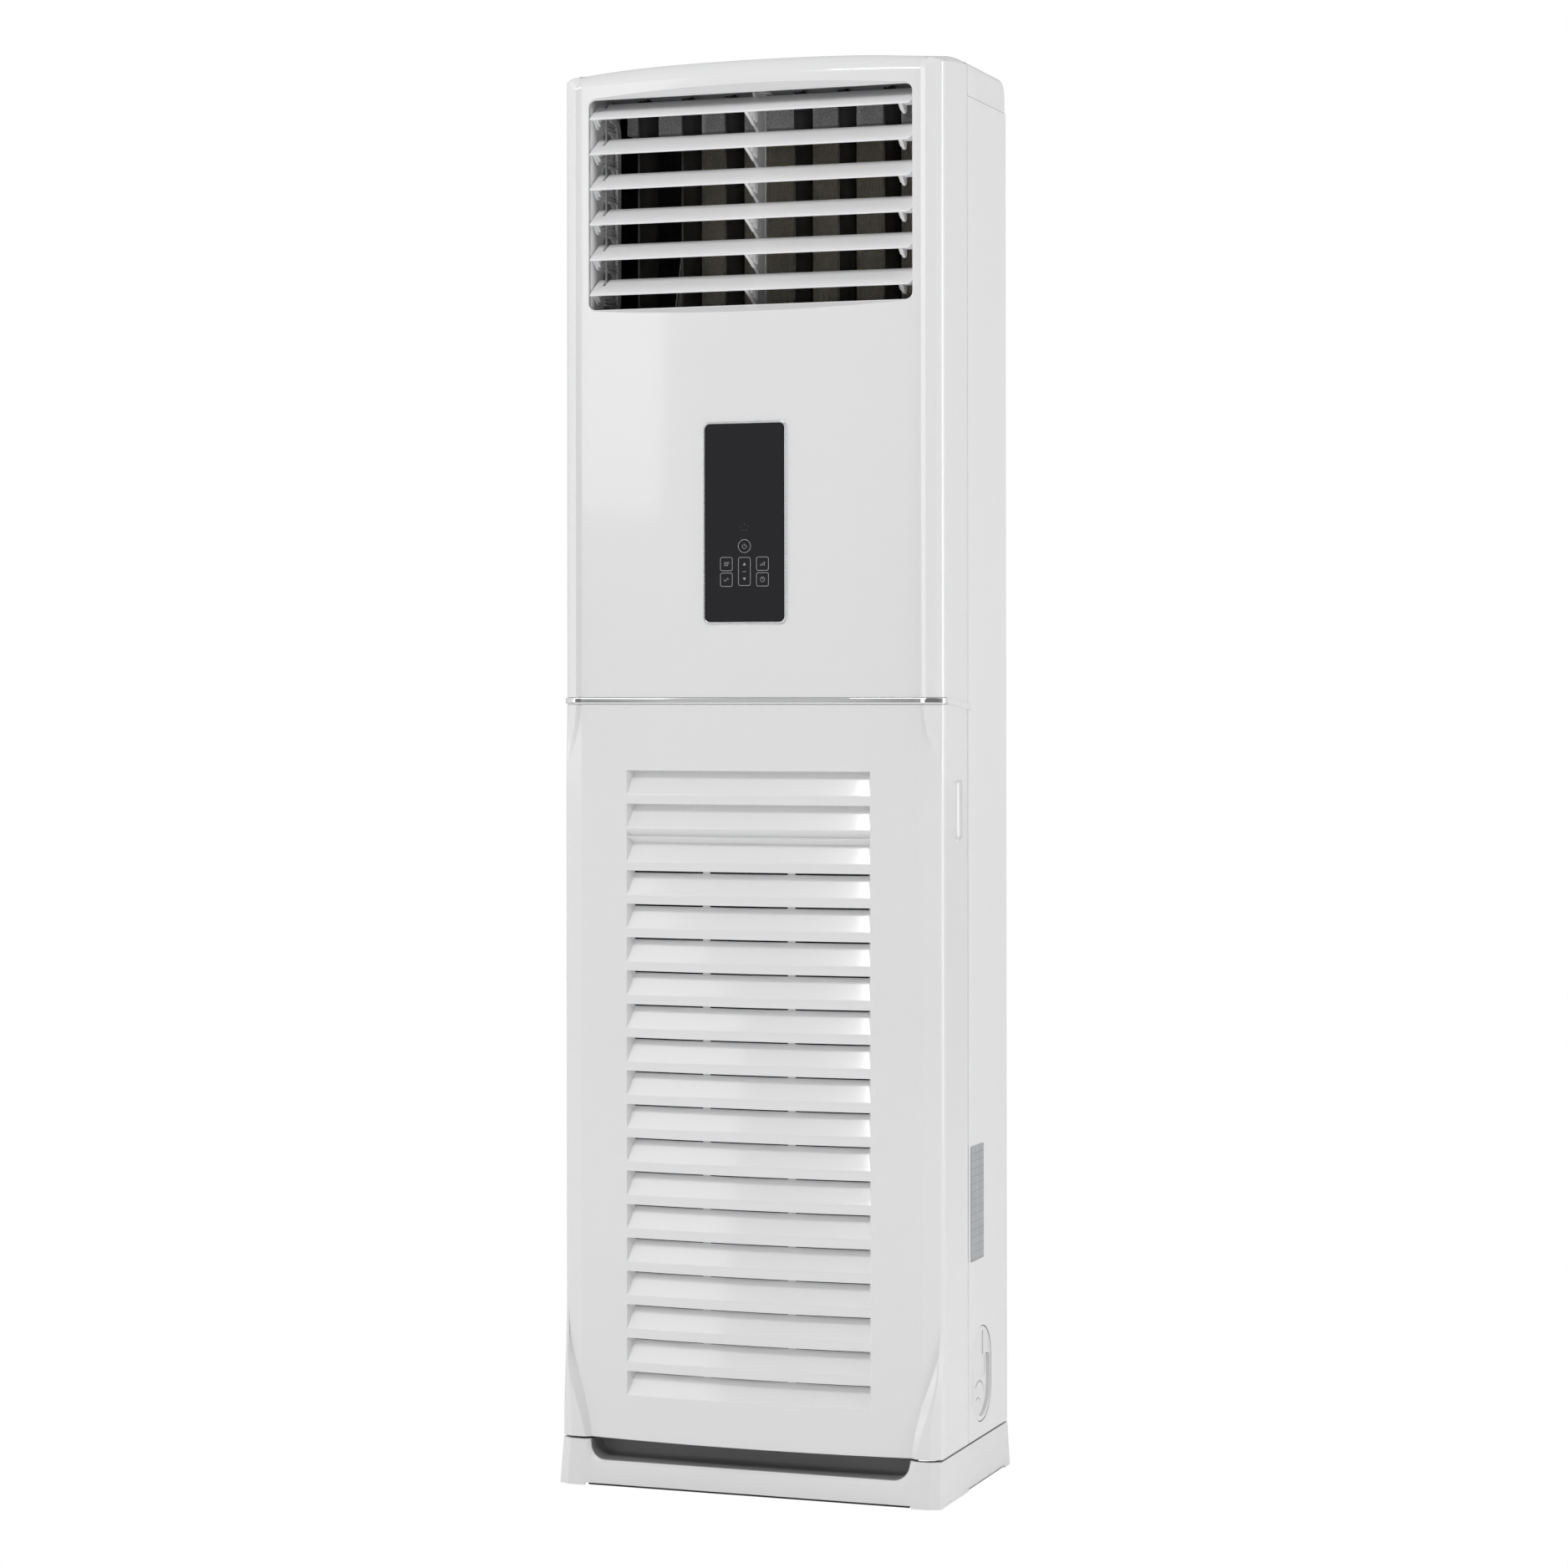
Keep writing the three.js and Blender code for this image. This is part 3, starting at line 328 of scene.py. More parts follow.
def flip(ob):
    bm = bmesh.new()
    bm.from_mesh(ob.data)
    bmesh.ops.reverse_faces(bm, faces=bm.faces)
    bm.to_mesh(ob.data)
    bm.free()


def weighted(ob):
    m = ob.modifiers.new("weighted_normals", "WEIGHTED_NORMAL")
    m.keep_sharp = True
    m.weight = 80
    return ob


def bevel(ob, width, segments=2, angle=35):
    m = ob.modifiers.new("bevel", "BEVEL")
    m.width, m.segments = width / 1000, segments
    m.limit_method = "ANGLE"
    m.angle_limit = math.radians(angle)
    m.use_clamp_overlap = True
    m.harden_normals = False
    return ob


def solidify(ob, thick, offset=-1.0):
    m = ob.modifiers.new("wall", "SOLIDIFY")
    m.thickness, m.offset = thick / 1000, offset
    m.use_even_offset = False
    m.use_quality_normals = False
    return ob


def place(ob, body, replaces=()):
    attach(ob, body)
    if replaces:
        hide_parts(*replaces)
    return ob


def sheet_mesh(rows, skip=None):
    """rows of equal length of Vectors to verts and quads; skip(i, j) leaves a cell open"""
    n = len(rows[0])
    verts = [v for r in rows for v in r]
    faces = []
    for i in range(len(rows) - 1):
        for j in range(n - 1):
            if skip and skip(i, j):
                continue
            faces.append((i * n + j, i * n + j + 1, (i + 1) * n + j + 1, (i + 1) * n + j))
    return verts, faces


def combine(*parts):
    verts, faces = [], []
    for v, f in parts:
        k = len(verts)
        verts += v
        faces += [tuple(i + k for i in q) for q in f]
    return verts, faces


def loft(sections, caps=True, closed=True):
    """closed loops of equal length, joined one to the next"""
    n = len(sections[0])
    verts = [v for s in sections for v in s]
    faces = []
    for k in range(len(sections) - 1):
        for i in range(n if closed else n - 1):
            a, b = k * n + i, k * n + (i + 1) % n
            faces.append((a, b, b + n, a + n))
    if caps:
        faces.append(tuple(range(n))[::-1])
        faces.append(tuple((len(sections) - 1) * n + i for i in range(n)))
    return verts, faces


def tube(points, r, sides=12, caps=True):
    """round bar through points (Vectors, metres), r in mm"""
    pts = [Vector(p) for p in points]
    secs = []
    up = None
    for i, p in enumerate(pts):
        d = (pts[min(i + 1, len(pts) - 1)] - pts[max(i - 1, 0)]).normalized()
        if up is None:
            up = d.orthogonal().normalized()
        up = (up - d * up.dot(d)).normalized()
        side = d.cross(up)
        secs.append([p + (up * math.cos(a) + side * math.sin(a)) * r / 1000 for a in (2 * math.pi * k / sides for k in range(sides))])
    return loft(secs, caps)


def box_mesh(x0, x1, s0, s1, z0, z1):
    c = [P(x, s, z) for z in (z0, z1) for x, s in ((x0, s0), (x1, s0), (x1, s1), (x0, s1))]
    return c, [(0, 3, 2, 1), (4, 5, 6, 7), (0, 1, 5, 4), (1, 2, 6, 5), (2, 3, 7, 6), (3, 0, 4, 7)]


def prism(outline, a, b, axis):
    """outline points in the plane across axis ('x': (s, z), 'y': (x, z), 'z': (x, s)), from a to b"""
    def put(p, t):
        return {"x": lambda: P(t, p[0], p[1]), "y": lambda: P(p[0], t, p[1]), "z": lambda: P(p[0], p[1], t)}[axis]()
    return loft([[put(p, a) for p in outline], [put(p, b) for p in outline]])


def rounded(x0, x1, y0, y1, r, n=6):
    pts = []
    for cx, cy, a0 in ((x1 - r, y1 - r, 0), (x0 + r, y1 - r, 90), (x0 + r, y0 + r, 180), (x1 - r, y0 + r, 270)):
        for k in range(n + 1):
            a = math.radians(a0 + 90 * k / n)
            pts.append((cx + r * math.cos(a), cy + r * math.sin(a)))
    return pts


def lerp(a, b, t):
    return a + (b - a) * t


def table(pairs, x):
    """piecewise linear look-up"""
    if x <= pairs[0][0]:
        return pairs[0][1]
    for (a, va), (b, vb) in zip(pairs, pairs[1:]):
        if x <= b:
            return va + (vb - va) * (x - a) / (b - a)
    return pairs[-1][1]


def smooth(t):
    t = max(0.0, min(1.0, t))
    return t * t * (3 - 2 * t)


def bow(x):
    return -14.0 * (1 - (x / 220.0) ** 2)


def outward(ob, centre=(0, 0, 0.9)):
    """turns the surface so that its faces look away from the centre"""
    c = Vector(centre)
    total = sum((p.center - c).dot(p.normal) * p.area for p in ob.data.polygons)
    if total < 0:
        flip(ob)
    return ob


def mirror_cols(half):
    """half profile from the middle to the side, to a full one from left to right"""
    left = [(-x, *rest) for x, *rest in half[::-1]]
    if half[0][0] == 0:
        left = left[:-1]
    return left + half


# ---- upper front moulding ------------------------------------------------
OX, OZ0, OZ1, ORAD = 210.2, 1443.4, 1703.6, 9.5
ARC = [math.radians(a) for a in (0, 15, 30, 45, 60, 75, 90)]
EDGE_S = bow(OX)


def outlet_edges(x):
    """lower and upper edge of the outlet at x"""
    x = abs(x)
    cx = OX - ORAD
    if x <= cx:
        return OZ0, OZ1
    d = math.sqrt(max(0.0, ORAD**2 - min(ORAD, x - cx) ** 2))
    return OZ0 + ORAD - d, OZ1 - ORAD + d


def lip(x, h):
    return 0.35 + h * max(0.0, 1 - (x / OX) ** 2)


UP_FRONT = [0, 16, 33, 50, 68, 88, 108, 128, 148, 168, 184] + [OX - ORAD + ORAD * math.sin(a) for a in ARC] + [213.2, 216.4, 219.2]


def upper_corner(z):
    k = smooth((1660 - z) / 70)  # how far the crease in the corner facet shows
    pts = [(220.6, -0.35), (225.6, -2.7), (226.3, -2.95), (227.1, -2.6)]
    for x in (236.8, 237.7):
        flat = -2.6 + (x - 227.1) * (10.2 + 2.6) / (242.3 - 227.1)
        pts.append((x, flat - 0.75 * k))
    pts += [(242.3, 10.2), (243.5, 11.5), (244.4, 13.0), (245.0, 14.6), (245.2, 16.5)]
    return pts


SIDE_S = [28, 45, 62, 78, 90, 97, 102, 105.5, 108]
up_rows = []
for z in (967, 967.6, 985, 1020, 1060, 1110, 1180, 1240, 1298, 1340, 1390, 1425):
    up_rows.append(("face", z))
up_rows += [("lowlip", 1452.6), ("lowedge", 1453.3)]
for z in (1500, 1550, 1600, 1650):
    up_rows.append(("open", z))
up_rows += [("topedge", 1692.7), ("toplip", 1693.4), ("face", 1711.5), ("wall", 1716)]


def upper_point(kind, z, x, s, front):
    if not front:
        if z < 968 and s > 17:  # the foot of the side follows the trim strip down
            z -= 8.4 * (s - 17) / 91.0
        return P(x, s, z)
    lo_e, hi_e = outlet_edges(x)
    inside = abs(x) <= OX + 1e-6
    if kind == "lowlip":
        return P(x, bow(x), (lo_e - lip(x, 8.0)) if inside else z)
    if kind == "lowedge":
        return P(x, EDGE_S if inside else bow(x), lo_e if inside else z)
    if kind == "topedge":
        return P(x, EDGE_S if inside else bow(x), hi_e if inside else z)
    if kind == "toplip":
        return P(x, bow(x), (hi_e + lip(x, 7.5)) if inside else z)
    return P(x, bow(x), z)


def upper_cols(z):
    half = [(x, bow(x), True) for x in UP_FRONT] + [(x, s, False) for x, s in upper_corner(z)]
    half += [(245.2, s, False) for s in SIDE_S]
    return mirror_cols(half)


grid_rows = [[upper_point(kind, z, *c) for c in upper_cols(z)] for kind, z in up_rows]
NF, NC, NS = len(UP_FRONT), len(upper_corner(0)), len(SIDE_S)
full = upper_cols(1700)
ncols = len(full)
kinds = [k for k, z in up_rows]


def crest(x, s):
    a = abs(x)
    zf = 1744.3 - 3.1 * (a / 158.0) ** 3.2
    zb = 1749.7 - 5.0 * (a / 235.0) ** 2
    t = max(0.0, min(1.0, (s - 18) / 78.0))
    z = zf + (zb - zf) * (1 - (1 - t) ** 2)
    if s > 96:
        z -= 6.2 * ((s - 96) / 12.0) ** 2
    return z


def wall_top(x, s):
    """where the upright wall turns into the crown"""
    a = abs(x)
    if a < 219.5:
        return 1721.5 - 1.5 * (a / 219.5) ** 4
    if a < 227.2:
        return lerp(1720.0, 1716.5, (a - 219.5) / 7.7)
    if a < 243:
        t = (a - 227.2) / 15.8
        return 1716.5 + 11.5 * math.sqrt(max(0.0, 1 - (1 - t) ** 2))
    return 1728.0 + max(0.0, s - 11) * 0.105


def inset_of(x, s):
    """inward direction and reach of the crown's shoulder at a wall point"""
    a = abs(x)
    if a < 200:
        return (0.0, 1.0, 30.0)
    if s < 17:
        t = smooth((a - 200) / 45.0)
        ang = t * math.pi / 2 * (0.2 + 0.8 * smooth((a - 222) / 23.0))
        return (-math.sin(ang) * math.copysign(1, x), math.cos(ang), lerp(30.0, 12.0, smooth((a - 215) / 30.0)))
    return (-math.copysign(1, x), 0.0, 12.0)


SHOULDER = [(0.0, 0.0), (0.05, 0.16), (0.14, 0.33), (0.27, 0.53), (0.44, 0.73), (0.64, 0.88), (0.84, 0.97), (1.0, 1.0)]
shoulder_rows = []
for d, e in SHOULDER:
    row = []
    for x, s, _ in full:
        dx, ds, reach = inset_of(x, s)
        end = (x + dx * reach, s + ds * reach)
        zt = crest(*end)
        zw = wall_top(x, s)
        back = max(0.0, (s - 96) / 12.0)
        z = lerp(zw, zt, e)
        row.append(P(x + dx * reach * d, s + ds * reach * d, z))
    shoulder_rows.append(row)
grid_rows += shoulder_rows
n_face = len(up_rows)
open_cols = [j for j, c in enumerate(full) if c[2] and abs(c[0]) <= OX + 1e-6]
oc0, oc1 = open_cols[0], open_cols[-1]
disp = [j for j, c in enumerate(full) if abs(c[0]) <= 50 + 1e-6]
i_low, i_top = kinds.index("lowedge"), kinds.index("topedge")
zlist = [z for k, z in up_rows]
id0, id1 = zlist.index(1060), zlist.index(1298)


def upper_skip(i, j):
    if i_low <= i < i_top and oc0 <= j < oc1:
        return True
    return id0 <= i < id1 and disp[0] <= j < disp[-1]


upper = sheet_mesh(grid_rows, upper_skip)

# crown's flat: front edge of the last shoulder row carried back
last = shoulder_rows[-1]
a0, a1 = NS - 1, ncols - NS  # the side's first points at each end
front_loop = last[a0 : a1 + 1]
s0 = full[a0][1]
top_rows = []
side_s = [full[a0 - k][1] for k in range(0, NS)]
for k in range(NS):
    row = []
    f = (side_s[k] - side_s[0]) / (side_s[-1] - side_s[0])
    for v in front_loop:
        x, s = v.x * 1000, v.y * 1000 - FRONT
        s2 = s + (108 - s) * f
        row.append(P(x, s2, crest(x, s2)))
    top_rows.append(row)
top_rows[0] = list(front_loop)
crown = sheet_mesh(top_rows)

# rim of the outlet: a small fillet, then the wall that runs in
loop = [(full[j][0], outlet_edges(full[j][0])[1]) for j in range(oc0, oc1 + 1)]
loop += [(OX, z) for z in (1650, 1600, 1550, 1500)]
loop += [(full[j][0], outlet_edges(full[j][0])[0]) for j in range(oc1, oc0 - 1, -1)]
loop += [(-OX, z) for z in (1500, 1550, 1600, 1650)]


def rim_normal(x, z):
    cx, cz = OX - ORAD, None
    if abs(x) > cx - 1e-6:
        if z >= OZ1 - ORAD - 1e-6:
            cz = OZ1 - ORAD
        elif z <= OZ0 + ORAD + 1e-6:
            cz = OZ0 + ORAD
        else:
            return (-math.copysign(1, x), 0)
        v = Vector((math.copysign(cx, x) - x, cz - z))
        return tuple(v.normalized())
    return (0, -1) if z > 1570 else (0, 1)


rings = []
for o, d in [(0, 0), (0.25, 0.05), (0.5, 0.18), (0.7, 0.4), (0.84, 0.72), (0.9, 1.1), (0.9, 3.0), (0.9, 5.2)]:
    ring = []
    for x, z in loop:
        nx, nz = rim_normal(x, z)
        ring.append(P(x + nx * o, EDGE_S + d, z + nz * o))
    rings.append(ring)
rim = loft(rings, caps=False)
ob = mesh_object("upper_front_shell", *combine(upper, crown, rim), "gloss_white", sharp=40)
outward(ob, (0, 0, 1.3))
solidify(ob, 2.0)
weighted(ob)
place(ob, "root", ["upper_front_panel"])

# ---- lower front moulding ------------------------------------------------
ROW_N, BLIND, ROW_TOP, PITCH, ROW_H, ROW_W = 19, 2, 877.7, 40.9, 29.5, 157.5
ROW_D, SLIT = 12.7, 2.6
WEB0, WEB1 = 50.35, 59.65
XIN = [(58, 206.5), (78, 209), (98, 213.5), (120, 219), (142, 226.5), (162, 233), (185, 238.2), (198, 239.0), (884, 239.0), (890, 237.6), (904, 232.3), (922, 226.4), (942, 222.0), (960, 220.6)]
XOUT = [(58, 213), (78, 217.5), (98, 224), (120, 231), (142, 236.5), (162, 238.9), (185, 239.4), (198, 239.6), (884, 239.6), (890, 239.2), (904, 236.9), (922, 231.6), (942, 227.6), (960, 226.4)]
SRAISE = [(58, -6.5), (95, -6.0), (120, -4.2), (142, -1.8), (162, 0.7), (185, 3.4), (205, 5.4), (230, 6.0)]
CX = [(58, 231.0), (95, 232.0), (120, 235.0), (142, 238.0), (162, 239.9), (198, 240.2), (884, 240.2), (904, 238.2), (922, 237.2), (960, 236.9)]
KX = [(58, 243.0), (130, 242.6), (165, 242.0), (200, 241.4), (230, 241.0), (866, 241.0), (960, 242.3)]
KS = [(58, -0.9), (95, -0.4), (130, 1.6), (165, 4.0), (200, 5.9), (230, 6.6), (866, 6.6), (900, 7.6), (960, 10.2)]
ES = [(58, 4), (95, 4.5), (130, 7), (165, 10), (200, 12.3), (230, 13), (866, 13), (960, 16)]


def soft(pairs, z):
    """the look-up, rounded a little between its points"""
    return (table(pairs, z - 5) + 2 * table(pairs, z) + table(pairs, z + 5)) / 4


def wing(x):
    return bow(x) if x < 220 else 0.305 * (x - 220)


def column(x):
    return -2.6 + 0.765 * (x - 227.1) if x < 237.2 else 5.13 + 0.98 * (x - 237.2)


def lower_corner(z):
    xi, xo = soft(XIN, z), soft(XOUT, z)
    n1 = min(220.3, xi - 0.9)
    n0 = n1 - 0.9
    v0, v1 = max(xi - 0.3, n1 + 0.15), max(xi + 0.4, n1 + 0.6)
    r1, r2 = max(xo - 0.4, v1 + 0.15), max(xo + 0.4, v1 + 0.4)
    c1 = max(soft(CX, z), r2 + 0.15)
    c2 = c1 + 0.5
    k = (max(soft(KX, z), c2 + 0.15), soft(KS, z))
    if z > 860:
        t = smooth((z - 862) / 40)
        sr = lambda x: lerp(wing(x), min(column(x), wing(x) - 0.12), t)
        sc = lambda x: lerp(wing(x), column(x), t)
        pts = [(v0, wing(v0)), (v1, wing(v1)), (r1, sr(r1)), (r2, sr(r2)), (c1, min(sc(c1), k[1] - 0.5)), (c2, min(sc(c2), k[1] - 0.3))]
    else:
        b = soft(SRAISE, z)
        t = smooth((240 - z) / 60)
        up = lambda x: lerp(wing(x), min(b, wing(x)), t)
        pts = [(v0, wing(v0)), (v1, wing(v1)), (r1, up(r1)), (r2, up(r2)), (c1, up(c1)), (c2, up(c2) + 0.3 * t)]
    pts = [(n0, wing(n0)), (n1, wing(n1))] + pts
    e = (245.2, soft(ES, z))
    ctl = (244.9, lerp(k[1], e[1], 0.38))
    for q in (0, 0.25, 0.5, 0.75, 1.0):
        pts.append(tuple((1 - q) ** 2 * a + 2 * q * (1 - q) * b_ + q * q * c for a, b_, c in zip(k, ctl, e)))
    return pts


GRIP_S, GRIP_Z = (51, 83), (794, 867.6)
LOW_SIDE = [22, 35, 50.4, 51.6, 54, 62, 70.5, 76, 82.2, 83.6, 92, 100, 108]


def grip_depth(s, z):
    if not (GRIP_Z[0] < z < GRIP_Z[1]):
        return 0.0
    zs = min(1.0, min(z - GRIP_Z[0], GRIP_Z[1] - z) / 4.0)
    prof = table([(50.4, 0), (51.6, 6.4), (54, 7.4), (62, 7.8), (70.5, 7.7), (76, 7.0), (82.2, 3.4), (83.6, 0)], s)
    return prof * zs


def lower_cols(d, z_out, z_in):
    """one row: (x, s, z) from the middle to the back of the side"""
    b = ROW_W - max(0.4, d * 0.5)
    half = [(x, bow(x) + d, z_in) for x in (0, 25, WEB0, WEB1, 85, 110, 132)]
    half += [(b - 1.2, bow(b - 1.2) + d, z_in), (b, bow(b) + d, z_in), (ROW_W, bow(ROW_W), z_out), (158.6, bow(158.6), z_out)]
    corner = lower_corner(z_out)
    n0 = corner[0][0]
    for f in (0.25, 0.55, 0.8):
        x = lerp(158.6, n0, f)
        half.append((x, bow(x), z_out))
    half += [(x, s, z_out) for x, s in corner]
    half += [(245.2 - grip_depth(s, z_out), s, z_out) for s in LOW_SIDE]
    return mirror_cols(half)


spec = []  # (d, z_out, z_in, kind)
for z in (57.8, 58.4, 62, 68, 75, 82, 90, 98, 106):
    spec.append((0.0, z, z, "face"))
for i in range(ROW_N - 1, -1, -1):
    top = ROW_TOP - PITCH * i
    low = top - ROW_H
    rate = ROW_D / (ROW_H - SLIT)
    spec.append((0.0, low - 1.0, low - 1.0, "face"))
    for dz in (0.35, 1.3, 6, 12, 18, 23):
        spec.append((rate * dz * (0.6 if dz < 1 else 1), low + dz, low + dz, "ramp"))
    spec.append((ROW_D, top - SLIT, top - SLIT, "slit" if i >= BLIND else "ramp"))
    spec.append((ROW_D + 0.2, top - 1.9, top - 0.1, "under"))
    spec.append((7.0, top - 1.3, top - 0.06, "under"))
    spec.append((1.5, top - 0.7, top, "under"))
    spec.append((0.45, top - 0.1, top + 0.3, "under"))
    spec.append((0.0, top + 1.2, top + 1.2, "face"))
for z in (880.5, 884, 888, 892, 897, 902, 907, 912, 918, 924, 930, 936, 942, 948, 954, 958.6, 959.2):
    spec.append((0.0, z, z, "face"))
extra = [z for z in (794.0, 798.0, 863.6, 867.6)]
for z in extra:  # edges of the finger grips fall on rows of their own
    best = min(range(len(spec)), key=lambda k: abs(spec[k][1] - z) + (0 if spec[k][3] == "ramp" else 50))
    d, zo, zi, kind = spec[best]
    spec[best] = (d, z, zi, kind)
spec.sort(key=lambda r: r[1])
low_rows = [[P(*p) for p in lower_cols(d, zo, zi)] for d, zo, zi, kind in spec]
cols0 = lower_cols(ROW_D, 400, 400)
slit_cells = set()
for j in range(len(cols0) - 1):
    xm = (cols0[j][0] + cols0[j + 1][0]) / 2
    if abs(xm) < ROW_W - 2 and not (WEB0 < abs(xm) < WEB1) and abs(cols0[j][0]) <= ROW_W - 5.0 and abs(cols0[j + 1][0]) <= ROW_W - 5.0:
        slit_cells.add(j)
lower = sheet_mesh(low_rows, lambda i, j: spec[i][3] == "slit" and j in slit_cells)
ob = mesh_object("lower_front_shell", *lower, "gloss_white", sharp=38)
outward(ob, (0, 0, 0.5))
solidify(ob, 1.6)
weighted(ob)
place(ob, "lower_panel", ["lower_front_panel"])


# ---- plinth --------------------------------------------------------------
PL_TOP = 55.0


def pl_edge(x, half, z0, r, zend):
    """lower edge of the toe recess, with round corners"""
    x = abs(x)
    if x <= half - r:
        return z0
    if x >= half:
        return zend
    return min(zend, z0 + r - math.sqrt(max(0.0, r * r - (x - half + r) ** 2)))


TOE, TOE_OUT = (206.0, 31.0, 20.0, 51.0), (213.5, 24.2, 27.0, 50.4)
pl_half = [0, 40, 80, 120, 160, 186] + [186 + 20 * math.sin(math.radians(a)) for a in (15, 30, 45, 60, 72, 82, 90)] + [208, 209.6, 210.6, 213.5, 222]
pl_top_corner = [(231.2, -7.0), (232.6, -6.3), (243.0, -1.2), (244.0, -0.2), (244.4, 1.4)]
pl_bot_corner = [(232.2, -15.5), (233.6, -14.8), (244.7, -9.2), (245.6, -8.2), (246.0, -6.6)]
pl_side = [20, 60, 103.6, 104.4, 150, 200, 257.6, 258.4, 266]
pl_back = [(244.2, 275.5), (243.0, 277.4), (240.5, 278.0), (200.6, 278.0), (199.6, 278), (100, 278), (0, 278)]


def plinth_cols():
    cols = []  # (kind, top (x, s), bottom (x, s))
    for x in pl_half:
        cols.append(("front", (x, -7.0), (x, -15.5)))
    for a, b in zip(pl_top_corner, pl_bot_corner):
        cols.append(("corner", a, b))
    for s in pl_side:
        cols.append(("side", (244.4, s), (246.0, s * 1.0)))
    for x, s in pl_back:
        k = 1.6 if x > 230 else 0
        cols.append(("back", (x, s), (x + k, s + 6.0)))
    half = cols
    full_ = half + [(k, (-a[0], a[1]), (-b[0], b[1])) for k, a, b in half[-2:0:-1]]
    return full_


def foot_z(kind, x, s):
    x = abs(x)
    if kind == "front":
        return 3.5 if x < 210 else 0.35
    if kind == "side":
        return 3.5 if 104 < s < 258 else 0.35
    if kind == "back":
        return 3.5 if x < 200 else 0.35
    return 0.35


pcols = plinth_cols()
prow = []
for r in ("foot", "low", "lipout", "lipin", "top", "ledge"):
    row = []
    for kind, a, b in pcols:
        x, s = a
        if r == "foot":
            z = foot_z(kind, *a)
        elif r == "low":
            z = 14.0
        elif r == "lipout":
            z = pl_edge(a[0], *TOE_OUT) if kind == "front" else 50.4
        elif r == "lipin":
            z = pl_edge(a[0], *TOE) if kind == "front" else 51.0
        else:
            z = PL_TOP
        t = z / PL_TOP
        px, ps = lerp(b[0], a[0], t), lerp(b[1], a[1], t)
        if kind == "front" and r in ("lipin", "top", "ledge") and abs(a[0]) <= 208.5:
            ps += 3.2
        if kind == "front" and r == "lipin" and 208.5 < abs(a[0]) < 213:
            ps += 1.2
        if kind == "front" and r in ("top", "ledge") and 208.5 < abs(a[0]) < 213:
            ps += 1.2
        if r == "ledge":
            px *= (235.0 / 244.4) if kind != "front" else 1.0
            ps = ps + 8 if kind in ("front", "corner") else (min(ps, 268.0) if kind != "side" else ps)
        row.append(P(px, ps, z))
    prow.append(row + [row[0]])
toe_cols = [j for j, c in enumerate(pcols) if c[0] == "front" and abs(c[1][0]) <= 206.01]


def toe_cell(j):
    a, b = pcols[j], pcols[(j + 1) % len(pcols)]
    return a[0] == b[0] == "front" and abs(a[1][0]) <= 206.01 and abs(b[1][0]) <= 206.01


pl = sheet_mesh(prow, lambda i, j: i >= 3 and toe_cell(j))
# inside of the toe recess: floor running back, then the rear wall
order = [j for j in range(len(pcols)) if pcols[j][0] == "front" and abs(pcols[j][1][0]) <= 206.01]
order.sort(key=lambda j: pcols[j][1][0])
edge = [prow[3][j] for j in order]
ends = [P(-206, edge[0].y * 1000 - FRONT, 55), P(206, edge[-1].y * 1000 - FRONT, 55)]
edge = [ends[0]] + edge + [ends[1]]
rr = []
for ds in (0, 1.2, 6, 20, 27, 30):
    row = []
    for v in edge:
        x, s, z = v.x * 1000, v.y * 1000 - FRONT, v.z * 1000
        if ds:
            s = s + ds if ds < 10 else ds
            z = z + (0.35 if ds < 2 else 0.6) * (z < 54)
            if ds >= 27:
                z += (ds - 26) * 1.2 * (z < 50)
        row.append(P(x, s, z))
    rr.append(row)
rr.append([P(v.x * 1000, 32, 57.0) for v in edge])
toe = sheet_mesh(rr)
ob = mesh_object("base_plinth_shell", *pl, "base_white", sharp=42)
outward(ob, (0, 0, 0.03))
solidify(ob, 1.8)
weighted(ob)
place(ob, "root", ["base_plinth"])
# the inside of the recess takes the darker grey plastic: painted shade in the toe recess
ob = mesh_object("toe_recess", *toe, MATS["recess_grey"], sharp=42)
solidify(ob, 1.2, 0.0)
weighted(ob)
place(ob, "root")
# dark boxes under the plinth's long edges: painted shade standing in for the shadow in the gap under the plinth
gap_shade_boxes = [box_mesh(-207.0, 207.0, -10.5, -7.0, 0.3, 9.0)]
for sx in (-1, 1):
    gap_shade_boxes.append(box_mesh(*sorted((sx * 240.6, sx * 243.2)), 103.0, 259.5, 0.3, 9.0))
ob = mesh_object("plinth_gap_shade_boxes", *combine(*gap_shade_boxes), "vane_black", sharp=35)
bevel(ob, 0.2, 2)
place(ob, "root")


# ---- flat sheets with holes and pockets ----------------------------------
from mathutils.geometry import tessellate_polygon


def flat(outer, holes, put):
    """flat face with holes; points are pairs and put makes them Vectors"""
    rings_ = [[Vector((a, b, 0)) for a, b in r] for r in [outer, *holes]]
    pts = [p for r in [outer, *holes] for p in r]
    return [put(*p) for p in pts], [tuple(t) for t in tessellate_polygon(rings_)]


def walls(loop_, put_a, put_b):
    n = len(loop_)
    return [put_a(*p) for p in loop_] + [put_b(*p) for p in loop_], [(i, (i + 1) % n, n + (i + 1) % n, n + i) for i in range(n)]


def pocket(loop_, x, depth):
    """a pocket sunk from the plane x, with its floor"""
    return combine(
        walls(loop_, lambda s, z: P(x, s, z), lambda s, z: P(x - depth, s, z)),
        flat(loop_, [], lambda s, z: P(x - depth, s, z)),
    )


def obround(cs, z0, z1, r, n=16):
    pts = [(cs + r * math.cos(math.pi * k / n), z1 + r * math.sin(math.pi * k / n)) for k in range(n + 1)]
    pts += [(cs + r * math.cos(math.pi + math.pi * k / n), z0 + r * math.sin(math.pi + math.pi * k / n)) for k in range(n + 1)]
    return pts


